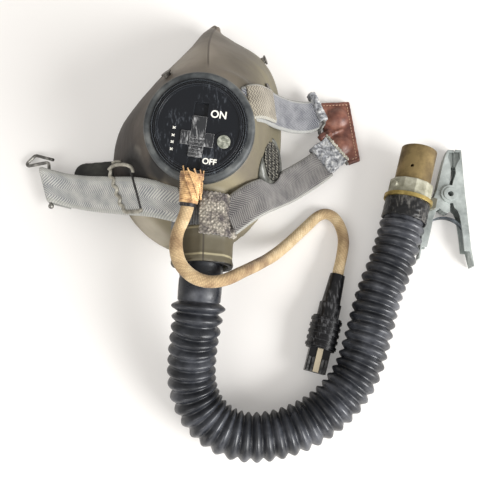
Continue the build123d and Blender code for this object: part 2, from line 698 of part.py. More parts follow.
# Cord's gland, whipping and tape band
gland_start = FACE_RADIUS + FIT
whip_end = WHIP_START + WHIP_LENGTH
gland = disc(cord_exit, GLAND_RADIUS, gland_start, GLAND_END)
save("cord_gland", gland)
whipping = loft([
    cord_exit.offset(WHIP_START) * Circle(WHIP_RADIUS),
    cord_exit.offset(whip_end) * Circle(WHIP_END_RADIUS),
])
whipping -= disc(cord_exit, GLAND_RADIUS + FIT, WHIP_START - OVERRUN, GLAND_END)
save("cord_tape_band", tube(
    cord_exit, CORD_RADIUS + BAND_THICK, CORD_RADIUS + FIT, whip_end, whip_end + BAND_LENGTH
))

# Microphone cord, from the whipping to the plug
cord_start = cord_exit.origin + cord_exit.z_dir * whip_end
cord_points = [(cord_start.X, cord_start.Y, cord_start.Z)] + CORD_ROUTE + [PLUG_START]
cord_path = route_path(cord_points)
cord = sweep(Plane(origin=cord_path @ 0, z_dir=cord_path % 0) * Circle(CORD_RADIUS), path=cord_path)
print("cord length", cord_path.length, "volume", cord.volume)
print("section times length", math.pi * CORD_RADIUS ** 2 * cord_path.length)
save("microphone_cord", cord)
save("cord_whipping", whipping - cord)

# Plug: sleeve, collar, ribbed body, insulator block, contacts and strip
plug = Plane(origin=PLUG_START, x_dir=(0, 0, 1), z_dir=cord_path % 1)
collar_start = PLUG_SLEEVE_LENGTH
body_start = collar_start + PLUG_COLLAR_LENGTH
body_end = body_start + PLUG_BODY_LENGTH
save("plug_sleeve", loft([
    plug * Circle(PLUG_SLEEVE_START_RADIUS),
    plug.offset(PLUG_SLEEVE_LENGTH) * Circle(PLUG_SLEEVE_END_RADIUS),
]))
save("plug_collar", disc(plug, PLUG_COLLAR_RADIUS, collar_start, body_start))
plug_body = disc(plug, PLUG_BODY_RADIUS, body_start, body_end)
plug_rib_step = PLUG_BODY_LENGTH / PLUG_RIBS
for number in range(PLUG_RIBS):
    rib_start = body_start + plug_rib_step * number + (plug_rib_step - PLUG_RIB_WIDTH) / 2
    plug_body += disc(plug, PLUG_BODY_RADIUS + PLUG_RIB_RISE, rib_start, rib_start + PLUG_RIB_WIDTH)
save("plug_body", plug_body)
block_end = body_end + PLUG_BLOCK_LENGTH
save("plug_insulator", block(
    plug, 0, 0, PLUG_BLOCK_HEIGHT, PLUG_BLOCK_WIDTH, body_end, block_end
))
strip_height = (PLUG_BLOCK_HEIGHT + PLUG_STRIP_RISE) / 2
save("plug_strip", block(
    plug, strip_height, 0, PLUG_STRIP_RISE, PLUG_STRIP_WIDTH, body_end, block_end
))
pins = []
pin_step = (PLUG_BLOCK_WIDTH - PLUG_STRIP_WIDTH) / 4
for side in (-1, 1):
    for number in range(PLUG_PINS // 2):
        across = side * (PLUG_STRIP_WIDTH / 2 + pin_step * (number + 1 / 2))
        pins.append(block(
            plug, (PLUG_BLOCK_HEIGHT + PLUG_PIN_RISE) / 2, across, PLUG_PIN_RISE, PLUG_PIN_WIDTH,
            block_end - PLUG_PIN_LENGTH, block_end
        ))
save("plug_contacts", Compound(children=pins))

# Exhaust valve: rolled rubber housing, seat, disc and cover
roll_place = EXHAUST_HEIGHT - EXHAUST_ROLL
exhaust_housing = disc(exhaust, EXHAUST_RADIUS, -EXHAUST_SINK, roll_place)
exhaust_housing -= tube(
    exhaust, EXHAUST_RADIUS + OVERRUN, EXHAUST_RADIUS - EXHAUST_GROOVE_DEPTH, 0, EXHAUST_GROOVE_WIDTH
)
exhaust_housing += exhaust.offset(roll_place) * Torus(EXHAUST_RADIUS, EXHAUST_ROLL)
exhaust_housing -= outer_shell
exhaust_housing -= disc(exhaust, EXHAUST_BORE_RADIUS, -EXHAUST_SINK - OVERRUN, EXHAUST_HEIGHT)
exhaust_housing -= disc(
    exhaust, EXHAUST_SEAT_RADIUS + FIT, EXHAUST_FLOOR, EXHAUST_HEIGHT + OVERRUN
)
save("exhaust_valve_housing", largest(exhaust_housing))
seat_top = EXHAUST_FLOOR + EXHAUST_SEAT_THICK
save("exhaust_valve_seat", spider(
    exhaust, EXHAUST_SEAT_RADIUS, EXHAUST_BORE_RADIUS, EXHAUST_FLOOR, EXHAUST_SEAT_THICK
))
exhaust_disc = disc(exhaust, EXHAUST_DISC_RADIUS, seat_top + FIT, seat_top + FIT + EXHAUST_DISC_THICK)
exhaust_disc += disc(exhaust, STEM_RADIUS, seat_top - STEM_LENGTH, seat_top + FIT)
save("exhaust_valve_disc", exhaust_disc)
cover_start = EXHAUST_HEIGHT - EXHAUST_COVER_THICK
exhaust_cover = disc(exhaust, EXHAUST_SEAT_RADIUS, cover_start, EXHAUST_HEIGHT)
exhaust_cover -= hole_rings(
    exhaust, EXHAUST_RING_RADII, EXHAUST_RING_HOLES, EXHAUST_HOLE_RADIUS,
    cover_start - OVERRUN, EXHAUST_HEIGHT + OVERRUN
)
save("exhaust_valve_cover", exhaust_cover)

# Inlet valve in the stalk, and the ferrule that holds the hose
save("inlet_valve_seat", spider(
    stalk, STALK_BORE_RADIUS, INLET_SEAT_BORE, INLET_PLACE, INLET_SEAT_THICK
))
inlet_disc = disc(stalk, INLET_DISC_RADIUS, INLET_PLACE - FIT - INLET_DISC_THICK, INLET_PLACE - FIT)
inlet_disc += disc(stalk, STEM_RADIUS, INLET_PLACE - FIT, INLET_PLACE + STEM_LENGTH)
save("inlet_valve_disc", inlet_disc)
ferrule_outer = HOSE_BORE_RADIUS - FIT
save("stalk_ferrule", tube(
    stalk, ferrule_outer, ferrule_outer - FERRULE_WALL, FERRULE_PLACE, FERRULE_PLACE + FERRULE_LENGTH
))

# Corrugated hose: plain cuffs at both ends, ribs between them
hose_path = route_path(HOSE_ROUTE)
hose_length = hose_path.length
hose_end = SLEEVE_LENGTH + SLEEVE_GAP
rib_pitch = (hose_length - HOSE_CUFF_LENGTH - hose_end) / HOSE_RIBS
print("hose length", hose_length, "rib pitch", rib_pitch)


def hose_ring(place, radius):
    """A circle of the hose at a place along its length."""
    along = hose_path % (place / hose_length)
    upward = Vector(0, 0, 1) - along * along.Z
    ring = Plane(origin=hose_path @ (place / hose_length), x_dir=upward, z_dir=along)
    return (ring * Edge.make_circle(radius)).moved(Location())


rings = [(0, HOSE_CUFF_RADIUS), (HOSE_CUFF_LENGTH, HOSE_CUFF_RADIUS)]
rib_radii = (HOSE_ROOT_RADIUS, HOSE_RADIUS, HOSE_RADIUS, HOSE_ROOT_RADIUS)
for number in range(HOSE_RIBS):
    for share, radius in zip(HOSE_RIB_SHARES, rib_radii):
        rings.append((HOSE_CUFF_LENGTH + rib_pitch * (number + share), radius))
rings += [(hose_length - hose_end, HOSE_CUFF_RADIUS), (hose_length, HOSE_CUFF_RADIUS)]
hose = Solid.make_loft([Wire([hose_ring(*ring)]) for ring in rings], ruled=True)
bore = sweep(Plane(origin=hose_path @ 0, z_dir=hose_path % 0) * Circle(HOSE_BORE_RADIUS), path=hose_path)
hose -= bore
hose_way = hose_path % 1
connector = Plane(
    origin=hose_path @ 1, x_dir=Vector(0, 0, 1) - hose_way * hose_way.Z, z_dir=hose_way
)
hose -= disc(connector, TUBE_ROOT_RADIUS + FIT, -TUBE_PLUNGE, OVERRUN)
save("hose", largest(hose))

# Connector: sleeve, brass tube, collar and seal
def connector_side(place, turn):
    """A plane on the connector's axis, facing out, turned from the top to the left."""
    angle = math.radians(turn)
    outward = connector.x_dir * math.cos(angle) - connector.y_dir * math.sin(angle)
    return Plane(origin=connector.origin + connector.z_dir * place, z_dir=outward)


save("hose_end_sleeve", tube(
    connector, SLEEVE_RADIUS, HOSE_CUFF_RADIUS + FIT, -SLEEVE_LENGTH, 0
))
connector_tube = disc(connector, TUBE_ROOT_RADIUS, -TUBE_PLUNGE, COLLAR_LENGTH)
connector_tube += disc(connector, TUBE_RADIUS, COLLAR_LENGTH, TUBE_REACH)
connector_tube -= disc(connector, TUBE_RADIUS - TUBE_WALL, -TUBE_PLUNGE - OVERRUN, TUBE_REACH + OVERRUN)
tube_hole = connector_side(TUBE_HOLE_PLACE, TUBE_HOLE_TURN)
connector_tube -= disc(tube_hole, TUBE_HOLE_RADIUS, 0, 2 * TUBE_RADIUS)
save("connector_tube", connector_tube)
collar = extrude(connector * RegularPolygon(COLLAR_RADIUS, COLLAR_SIDES), amount=COLLAR_LENGTH)
collar_stud = connector_side(COLLAR_LENGTH / 2, COLLAR_STUD_TURN)
collar += disc(collar_stud, COLLAR_STUD_RADIUS, 0, COLLAR_RADIUS + COLLAR_STUD_RISE)
collar -= disc(connector, TUBE_ROOT_RADIUS + FIT, -OVERRUN, COLLAR_LENGTH + OVERRUN)
save("connector_collar", largest(collar))
seal_end = TUBE_REACH - GASKET_PLACE
seal_outer = TUBE_RADIUS - TUBE_WALL - FIT
save("connector_seal", tube(
    connector, seal_outer, seal_outer - GASKET_WALL, seal_end - GASKET_THICK, seal_end
))

# Bracket: a band round the sleeve, with a lug that lies on the clip
clip_top = CLIP_LIFT + CLIP_HEIGHT
inner_low = CLIP_LIFT + CLIP_SHEET + CLIP_GAP
inner_high = clip_top - CLIP_SHEET - CLIP_GAP
band_inner = SLEEVE_RADIUS + FIT
clip_bracket = tube(connector, band_inner + BRACKET_WALL, band_inner, -BRACKET_WIDTH, 0)
lug_side = connector.z_dir.cross(Vector(0, 0, 1)).normalized()
lug = Plane(
    origin=(connector.origin.X, connector.origin.Y, inner_high),
    x_dir=lug_side, z_dir=(0, 0, 1)
)
lug_start = band_inner
lug_points = [
    (lug_start, -LUG_BACK), (LUG_OUT, (LUG_LENGTH - LUG_WIDTH) - LUG_BACK),
    (LUG_OUT, LUG_LENGTH - LUG_BACK), (lug_start, LUG_LENGTH - LUG_BACK),
]
clip_bracket += plate(lug, lug_points, 0, LUG_HEIGHT)
save("clip_bracket", largest(clip_bracket))

# Spring clip: two folded jaws, hollow rivet and leaf spring
clip_turn = math.radians(CLIP_TURN)
clip = Plane(
    origin=(CLIP_PIVOT[0], CLIP_PIVOT[1], 0),
    x_dir=(math.cos(clip_turn), -math.sin(clip_turn), 0), z_dir=(0, 0, 1)
)


def clip_points(shares):
    """Points of a jaw in real sizes: jaw ahead of the pivot, handle behind it."""
    points = []
    for across, along in shares:
        reach = CLIP_JAW_LENGTH if along > 0 else CLIP_HANDLE_LENGTH
        points.append((across * CLIP_HALF_WIDTH, along * reach))
    return points


def folded_jaw(shares, side, low, high):
    """A jaw folded from sheet: two flat cheeks, an outer wall and a tooth at its tip."""
    points = clip_points(shares)
    inner = [(x - side * CLIP_SHEET, y) for x, y in points]
    jaw = plate(clip, points, low, high)
    jaw += disc(clip, CLIP_LOBE_RADIUS, low, high)
    jaw -= plate(clip, inner, low + CLIP_SHEET, high - CLIP_SHEET)
    jaw -= disc(clip, CLIP_LOBE_RADIUS + OVERRUN, low + CLIP_SHEET, high - CLIP_SHEET)
    tip = points[1]
    tooth_x = tip[0] - side * CLIP_TOOTH_WIDTH / 2
    jaw += block(
        clip, tooth_x, tip[1] - CLIP_TOOTH_LENGTH / 2, CLIP_TOOTH_WIDTH, CLIP_TOOTH_LENGTH,
        low, high - CLIP_TOOTH_DROP
    )
    return jaw - disc(clip, RIVET_RADIUS + FIT, low - OVERRUN, high + OVERRUN)


jaw_fixed = folded_jaw(LEFT_JAW_SHARES, -1, inner_low, inner_high)
save("clip_jaw_fixed", largest(jaw_fixed))
jaw_moving = folded_jaw(RIGHT_JAW_SHARES, 1, CLIP_LIFT, clip_top)
save("clip_jaw_moving", largest(jaw_moving))
rivet_low = CLIP_LIFT - FIT
rivet_high = clip_top + FIT
rivet = disc(clip, RIVET_RADIUS, rivet_low, rivet_high)
rivet += disc(clip, RIVET_HEAD_RADIUS, rivet_low - RIVET_HEAD_THICK, rivet_low)
rivet += disc(clip, RIVET_HEAD_RADIUS, rivet_high, rivet_high + RIVET_HEAD_THICK)
rivet -= disc(clip, RIVET_HOLE_RADIUS, -OVERRUN, rivet_high + RIVET_HEAD_THICK + OVERRUN)
save("clip_pivot", rivet)
spring_points = clip_points(SPRING_SHARES)
spring_side = Plane(
    origin=(clip.origin.X, clip.origin.Y, CLIP_LIFT + (CLIP_HEIGHT - SPRING_HEIGHT) / 2),
    x_dir=clip.x_dir, z_dir=(0, 0, 1)
)
spring_line = ThreePointArc(*spring_points)
spring_back = ThreePointArc(*[(x, y - SPRING_THICK) for x, y in spring_points])
spring_ends = [
    Line(spring_points[0], (spring_points[0][0], spring_points[0][1] - SPRING_THICK)),
    Line(spring_points[2], (spring_points[2][0], spring_points[2][1] - SPRING_THICK)),
]
spring_face = make_face([
    *spring_line.edges(), *spring_back.edges(), *spring_ends[0].edges(), *spring_ends[1].edges()
])
save("clip_spring", extrude(spring_side * spring_face, amount=SPRING_HEIGHT, dir=(0, 0, 1)))

# Harness yoke over the root of the stalk, with its pad on the right
yoke_inner = STALK_RADIUS + FIT
yoke_outer = yoke_inner + YOKE_THICK
yoke_end = YOKE_START + YOKE_LENGTH
yoke_keep = Plane(origin=STALK_START, x_dir=(1, 0, 0), z_dir=(0, 0, 1))
yoke = tube(stalk, yoke_outer, yoke_inner, YOKE_START, yoke_end)
yoke &= block(yoke_keep, 0, 0, 4 * STALK_RADIUS, 4 * YOKE_LENGTH, YOKE_DROP, 2 * STALK_RADIUS)
yoke -= outer_shell
save("harness_yoke", largest(yoke))
pad_inner = yoke_outer + FIT
pad_outer = pad_inner + PAD_THICK
pad_edges = []
for pad_turn in (PAD_START_TURN, PAD_END_TURN):
    angle = math.radians(pad_turn)
    pad_edges.append((2 * pad_outer * math.sin(angle), 2 * pad_outer * math.cos(angle)))
pad_front = Plane(origin=STALK_START, x_dir=(1, 0, 0), z_dir=(0, -1, 0))
pad_wedge = extrude(
    pad_front * Polygon((0, 0), *pad_edges, align=None),
    amount=2 * stalk_length, both=True
)
pad = tube(stalk, pad_outer, pad_inner, YOKE_START, YOKE_START + PAD_LENGTH)
pad &= pad_wedge
pad -= outer_shell
save("yoke_pad", largest(pad))

# Left strap, from the yoke to the loop round its hook's bar
hook_start = Vector(LEFT_START[0], LEFT_START[1], 0)
hook_centre = hook_start + Vector(LEFT_ALONG[0], LEFT_ALONG[1], 0) * (LEFT_LENGTH + WIRE_RADIUS + CLEAR)
hook_height = LEFT_HEIGHT * LEFT_PROFILE_SHARES[-1][1] + WEB_THICK / 2
hook_across = Vector(HOOK_ACROSS[0], HOOK_ACROSS[1], 0).normalized()
hook_bar = Plane(
    origin=(hook_centre.X, hook_centre.Y, hook_height), x_dir=(0, 0, 1), z_dir=hook_across
)
loop_inner = WIRE_RADIUS + CLEAR
left_strap = ribbon(
    LEFT_START, LEFT_ALONG, LEFT_ACROSS, LEFT_LENGTH, LEFT_HEIGHT, LEFT_PROFILE_SHARES, WEB_THICK
)
left_strap += disc(hook_bar, loop_inner + WEB_THICK, -WEB_WIDTH / 2, WEB_WIDTH / 2)
left_strap -= disc(hook_bar, loop_inner, -WEB_WIDTH, WEB_WIDTH)
for end in (-WEB_WIDTH, WEB_WIDTH / 2):
    left_strap -= disc(hook_bar, loop_inner + WEB_THICK, end, end + WEB_WIDTH / 2)
left_strap -= disc(stalk, yoke_outer + FIT, -STALK_RADIUS, stalk_length)
left_strap -= outer_shell
save("left_strap", largest(left_strap))


def strap_spot(start, along, length, height, shares, share):
    """A point on the underside of a strap, at a share of its length."""
    for (low_share, low_level), (high_share, high_level) in zip(shares, shares[1:]):
        if low_share <= share <= high_share:
            part = (share - low_share) / (high_share - low_share)
            level = low_level + (high_level - low_level) * part
    return Vector(
        start[0] + along[0] * share * length, start[1] + along[1] * share * length, level * height
    )


# Wire slide on the left strap
slide_lift = Vector(0, 0, WEB_THICK + 2 * WIRE_RADIUS + CLEAR)
slide_across = Vector(LEFT_ACROSS[0], LEFT_ACROSS[1], 0).normalized()
slide_reach = slide_across * (SLIDE_WIDTH / 2)
slide_near = strap_spot(
    LEFT_START, LEFT_ALONG, LEFT_LENGTH, LEFT_HEIGHT, LEFT_PROFILE_SHARES, SLIDE_NEAR_SHARE
) + slide_lift
slide_far = strap_spot(
    LEFT_START, LEFT_ALONG, LEFT_LENGTH, LEFT_HEIGHT, LEFT_PROFILE_SHARES, SLIDE_FAR_SHARE
) + slide_lift
slide_corners = [
    slide_near + slide_reach, slide_far + slide_reach,
    slide_far - slide_reach, slide_near - slide_reach,
]
slide_path = FilletPolyline(*slide_corners, radius=HOOK_BEND, close=True)
buckle = sweep(Plane(origin=slide_path @ 0, z_dir=slide_path % 0) * Circle(WIRE_RADIUS), path=slide_path)
for number in range(SLIDE_TEETH):
    tooth = slide_far + slide_across * (WEB_WIDTH * ((number + 1 / 2) / SLIDE_TEETH - 1 / 2))
    buckle += Pos(tooth.X, tooth.Y, tooth.Z) * Sphere(SLIDE_TOOTH_RADIUS)
save("left_buckle", largest(buckle))

# Wire hook at the strap's end
hook_out = Vector(0, 0, 1).cross(hook_across)
hook_points = []
for along, across, dip in HOOK_SHARES:
    spot = hook_bar.origin + hook_across * (HOOK_BAR_LENGTH * (along - 1 / 2) + HOOK_SIDE)
    spot += hook_out * (HOOK_BAR_LENGTH * across)
    hook_points.append(spot - Vector(0, 0, HOOK_TIP_DROP * dip))
print("hook bar", hook_bar.origin, hook_across)
hook = wire_rod(hook_points, WIRE_RADIUS, HOOK_BEND)
hook += Pos(hook_points[0].X, hook_points[0].Y, hook_points[0].Z) * Sphere(HOOK_KNOB_RADIUS)
save("left_hook", largest(hook))

# Bent wire that both right straps end on
wire_upper = Vector(TAB_WIRE_UPPER[0], TAB_WIRE_UPPER[1], TAB_WIRE_HEIGHT)
wire_knee = Vector(TAB_WIRE_KNEE[0], TAB_WIRE_KNEE[1], TAB_WIRE_HEIGHT)
wire_joint = Vector(TAB_WIRE_JOINT[0], TAB_WIRE_JOINT[1], TAB_WIRE_HEIGHT)
wire_lower = Vector(TAB_WIRE_LOWER[0], TAB_WIRE_LOWER[1], TAB_WIRE_HEIGHT)
tab_wire = wire_rod([wire_upper, wire_knee, wire_joint, wire_lower], WIRE_RADIUS, TAB_WIRE_BEND)
save("tab_wire", tab_wire)
upper_roll = Plane(origin=wire_upper, x_dir=(0, 0, 1), z_dir=wire_knee - wire_upper)
lower_loop = Plane(origin=wire_joint, x_dir=(0, 0, 1), z_dir=wire_lower - wire_joint)
lower_away = lower_loop.z_dir.cross(Vector(0, 0, 1)).normalized()
lower_roll = Plane(
    origin=wire_joint + lower_away * LOWER_ROLL_OFFSET, x_dir=(0, 0, 1), z_dir=lower_loop.z_dir
)


def cut_at_roll(strap, roll, radius, away):
    """End a strap at the near side of the roll that carries it."""
    beyond = Plane(origin=roll.origin, x_dir=away * -1, z_dir=(0, 0, 1))
    strap -= block(beyond, WEB_WIDTH, 0, 2 * WEB_WIDTH, 6 * WEB_WIDTH, -2 * radius, UPPER_HEIGHT)
    strap -= disc(roll, radius, -2 * WEB_WIDTH, 2 * WEB_WIDTH)
    return largest(strap)


# Upper right strap, with the short beige loop at its root and the roll at its end
upper_strap = ribbon(
    UPPER_START, UPPER_ALONG, UPPER_ACROSS, UPPER_LENGTH, UPPER_HEIGHT, UPPER_PROFILE_SHARES, WEB_THICK
)
upper_loop = ribbon(
    UPPER_START, UPPER_ALONG, UPPER_ACROSS, UPPER_LENGTH, UPPER_HEIGHT, UPPER_PROFILE_SHARES,
    UPPER_LOOP_EXTRA, WEB_THICK
)
loop_reach = UPPER_START[0] + UPPER_ALONG[0] * UPPER_LOOP_SHARE * UPPER_LENGTH
upper_loop &= block(
    Plane.XY, loop_reach - UPPER_LENGTH / 2, UPPER_START[1], UPPER_LENGTH, 4 * WEB_WIDTH, 0, 2 * UPPER_HEIGHT
)
upper_away = upper_roll.z_dir.cross(Vector(0, 0, 1)).normalized()
knee_bend = Plane(origin=wire_joint, x_dir=(0, 0, 1), z_dir=wire_knee - wire_joint)
upper_strap -= disc(knee_bend, WIRE_RADIUS + CLEAR, -WEB_WIDTH, WEB_WIDTH)
save("upper_right_strap", cut_at_roll(upper_strap - outer_shell, upper_roll, ROLL_RADIUS, upper_away))
save("upper_strap_loop", largest(upper_loop - outer_shell))
save("upper_strap_roll", tube(
    upper_roll, ROLL_RADIUS, WIRE_RADIUS + FIT, WIRE_RADIUS, WIRE_RADIUS + ROLL_LENGTH
))

# Lower right strap, its thick rolled end and the loop round the wire
lower_strap = ribbon(
    LOWER_START, LOWER_ALONG, LOWER_ACROSS, LOWER_LENGTH, LOWER_HEIGHT, LOWER_PROFILE_SHARES, WEB_THICK
)
lower_strap -= disc(stalk, pad_outer + FIT, -STALK_RADIUS, stalk_length)
lower_strap -= outer_shell
lower_strap -= disc(exhaust, EXHAUST_RADIUS + CLEAR, -EXHAUST_SINK, EXHAUST_HEIGHT + CLEAR)
lower_strap -= exhaust.offset(roll_place) * Torus(EXHAUST_RADIUS, EXHAUST_ROLL + CLEAR)
save("lower_right_strap", cut_at_roll(lower_strap, lower_roll, LOWER_ROLL_RADIUS, lower_away))
roll_start = TAB_WIRE_GAP
roll_end = roll_start + ROLL_LENGTH
rolls = disc(lower_roll, LOWER_ROLL_RADIUS, roll_start, roll_end)
rolls += disc(lower_loop, LOWER_LOOP_RADIUS, roll_start, roll_end)
rolls += block(
    lower_roll, 0, -LOWER_ROLL_OFFSET / 2, WEB_THICK, LOWER_ROLL_OFFSET, roll_start, roll_end
)
rolls -= disc(lower_loop, WIRE_RADIUS + FIT, -OVERRUN, 2 * ROLL_LENGTH)
save("lower_strap_roll", largest(rolls))

# Leather tab: back layer, front layer with domes and a loop round the wire, press studs
tab = Plane(origin=(TAB_CORNER[0], TAB_CORNER[1], TAB_LIFT))
tab_points = [(across * TAB_WIDTH, along * TAB_LENGTH) for across, along in TAB_SHARES]
tab_places = [(across * TAB_WIDTH, along * TAB_LENGTH) for across, along in TAB_STUD_SHARES]
tab_back = plate(tab, tab_points, 0, TAB_LAYER)
tab_front = plate(tab, tab_points, TAB_LAYER, 2 * TAB_LAYER)
dome_sphere = (TAB_DOME_RADIUS ** 2 + TAB_DOME_RISE ** 2) / (2 * TAB_DOME_RISE)
tab_studs = []
for x, y in tab_places:
    spot = Plane(origin=tab.origin + Vector(x, y, 0))
    dome = Pos(spot.origin.X, spot.origin.Y, TAB_LIFT + 2 * TAB_LAYER + TAB_DOME_RISE - dome_sphere)
    dome_cap = (dome * Sphere(dome_sphere)) & disc(spot, TAB_DOME_RADIUS, TAB_LAYER, 4 * TAB_LAYER)
    tab_front += dome_cap
    tab_front -= disc(spot, TAB_STUD_RADIUS + FIT, 2 * TAB_LAYER, 2 * TAB_LAYER + TAB_STUD_CAP)
    tab_front -= disc(spot, TAB_POST_RADIUS + FIT, 0, 2 * TAB_LAYER)
    tab_back -= disc(spot, TAB_POST_RADIUS + FIT, -OVERRUN, 2 * TAB_LAYER)
    stud = disc(spot, TAB_STUD_RADIUS, 2 * TAB_LAYER, 2 * TAB_LAYER + TAB_STUD_CAP)
    stud += disc(spot, TAB_POST_RADIUS, 0, 2 * TAB_LAYER)
    stud += disc(spot, TAB_SOCKET_RADIUS, -TAB_STUD_CAP, 0)
    tab_studs.append(stud)
loop_bore = WIRE_RADIUS + CLEAR
loop_plane = Plane(
    origin=wire_joint + lower_loop.z_dir * TAB_LOOP_PLACE, x_dir=(0, 0, 1), z_dir=lower_loop.z_dir
)
tab_front += disc(loop_plane, loop_bore + TAB_LOOP_WALL, -TAB_LOOP_LENGTH / 2, TAB_LOOP_LENGTH / 2)
tongue = Plane(
    origin=(loop_plane.origin.X, loop_plane.origin.Y, 0), x_dir=lower_away * -1, z_dir=(0, 0, 1)
)
tongue_length = 2 * TAB_LOOP_LENGTH
tab_front += block(
    tongue, tongue_length / 2, 0, tongue_length, TAB_LOOP_LENGTH,
    TAB_LIFT + TAB_LAYER, TAB_LIFT + 2 * TAB_LAYER + TAB_LOOP_WALL
)
tab_front -= disc(loop_plane, loop_bore, -TAB_LOOP_LENGTH, TAB_LOOP_LENGTH)
save("tab_back", tab_back)
save("tab_front", largest(tab_front))
save("tab_studs", Compound(children=tab_studs))
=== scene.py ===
import math
import bmesh
import bpy
from mathutils import Matrix, Vector, noise


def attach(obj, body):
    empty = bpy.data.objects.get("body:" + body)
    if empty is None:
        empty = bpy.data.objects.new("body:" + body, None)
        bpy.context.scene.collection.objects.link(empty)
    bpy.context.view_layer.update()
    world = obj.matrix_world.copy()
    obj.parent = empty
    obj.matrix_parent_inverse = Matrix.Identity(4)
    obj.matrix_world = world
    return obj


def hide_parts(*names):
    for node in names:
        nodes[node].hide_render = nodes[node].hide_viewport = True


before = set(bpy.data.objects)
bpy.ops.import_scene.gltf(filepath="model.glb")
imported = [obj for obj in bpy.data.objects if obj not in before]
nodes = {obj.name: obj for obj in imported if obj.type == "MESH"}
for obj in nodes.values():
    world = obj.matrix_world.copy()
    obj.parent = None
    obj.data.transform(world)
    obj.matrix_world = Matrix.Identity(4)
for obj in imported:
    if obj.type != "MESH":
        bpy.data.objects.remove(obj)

# An old rubber oxygen mask lying on its face seal, with a switched microphone,
# webbing harness, corrugated hose, connector, spring clip and microphone cord.
# Sizes are millimetres times MM, in the mask's own frame.
MM = 0.001
scene = bpy.context.scene
scene.view_settings.view_transform = "Standard"
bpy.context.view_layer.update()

# Camera: it looks down on the table from over the mask's chin, tilted a little
# towards the nose.
camera = bpy.data.objects.new("camera", bpy.data.cameras.new("camera"))
camera.location = (30.9 * MM, -153.0 * MM, 403.0 * MM)
camera.rotation_euler = (math.radians(14), 0, 0)
camera.data.lens = 43.2
camera.data.sensor_width = 36
camera.data.clip_start = 0.01
scene.collection.objects.link(camera)
scene.camera = camera


# Microphone cord: flexible leads in a tan cotton braid, limp with age. It leaves
# the microphone's edge, drops over the stalk and lies kinked on the table.
def tone(red, green, blue):
    """A paint value, 0 to 255, as the shader takes it."""
    shares = [value / 255 for value in (red, green, blue)]
    return (*[s / 12.92 if s < 0.04045 else ((s + 0.055) / 1.055) ** 2.4 for s in shares], 1)


def add_node(tree, kind, inputs=None, **settings):
    """A shader node with its settings, plain values and wires."""
    node = tree.nodes.new("ShaderNode" + kind)
    for name, value in settings.items():
        setattr(node, name, value)
    for name, value in (inputs or {}).items():
        if isinstance(value, bpy.types.NodeSocket):
            tree.links.new(value, node.inputs[name])
        else:
            node.inputs[name].default_value = value
    return node


def add_value(tree, kind, inputs, **settings):
    """A shader node's first output."""
    return add_node(tree, kind, inputs, **settings).outputs[0]


def calc(tree, operation, *values, **settings):
    """The result of a sum on numbers."""
    return add_value(tree, "Math", dict(enumerate(values)), operation=operation, **settings)


def vector_calc(tree, operation, *values):
    """The result of a sum on vectors or colours, itself a vector or a number."""
    node = add_node(tree, "VectorMath", dict(enumerate(values)), operation=operation)
    return node.outputs["Value" if operation in ("DISTANCE", "DOT_PRODUCT") else "Vector"]


def remap(tree, value, low=0, high=1, to_low=0, to_high=1, **settings):
    """A value's place from low to high, spread from to_low to to_high."""
    ends = {"From Min": low, "From Max": high, "To Min": to_low, "To Max": to_high}
    return add_value(tree, "MapRange", {"Value": value, **ends}, **settings)


def mix_colors(tree, share, under, over):
    """Two colours mixed by a share."""
    return add_node(tree, "Mix", {"Factor": share, 6: under, 7: over}, data_type="RGBA").outputs[2]


def new_finish(name, **values):
    """A material with its Principled shader, and the tree they stand in."""
    material = bpy.data.materials.new(name)
    material.use_nodes = True
    tree = material.node_tree
    shader = tree.nodes["Principled BSDF"]
    for socket, value in values.items():
        shader.inputs[socket.replace("_", " ")].default_value = value
    return material, tree, shader


def new_group(name, inputs, outputs):
    """An empty shader group, what it is given and what it puts out."""
    group = bpy.data.node_groups.new(name, "ShaderNodeTree")
    for label, kind, value in inputs:
        socket = group.interface.new_socket(label, in_out="INPUT", socket_type=f"NodeSocket{kind}")
        if value is not None:
            socket.default_value = value
    for label, kind in outputs:
        group.interface.new_socket(label, in_out="OUTPUT", socket_type=f"NodeSocket{kind}")
    return group, group.nodes.new("NodeGroupInput").outputs, group.nodes.new("NodeGroupOutput").inputs


def join(tree, value, shader, socket):
    """A wire from a value to a shader's socket."""
    tree.links.new(value, shader.inputs[socket])


def add_group(tree, group, inputs):
    """A group placed in a material, with its own values."""
    return add_node(tree, "Group", inputs, node_tree=group)


def drawn_work(holder):
    """An object's shape as it is drawn, as a bmesh; the object itself goes."""
    scene.collection.objects.link(holder)
    bpy.context.view_layer.update()
    drawn = bpy.data.meshes.new_from_object(holder.evaluated_get(bpy.context.evaluated_depsgraph_get()))
    work = bmesh.new()
    work.from_mesh(drawn)
    bpy.data.objects.remove(holder)
    bpy.data.meshes.remove(drawn)
    return work


def smooth_line(points):
    """Closely spaced points of the NURBS spline through a route's control points."""
    curve = bpy.data.curves.new("route", "CURVE")
    curve.dimensions = "3D"
    curve.resolution_u = 24
    spline = curve.splines.new("NURBS")
    spline.points.add(len(points) - 1)
    for point, place in zip(spline.points, points):
        point.co = (*[value * MM for value in place], 1)
    spline.order_u = 3
    spline.use_endpoint_u = True
    drawn = drawn_work(bpy.data.objects.new("route", curve))
    line = [vertex.co.copy() for vertex in drawn.verts]
    drawn.free()
    return line


def line_places(line):
    """How far along the line each of its points lies."""
    places = [0.0]
    for before, after in zip(line, line[1:]):
        places.append(places[-1] + (after - before).length)
    return places


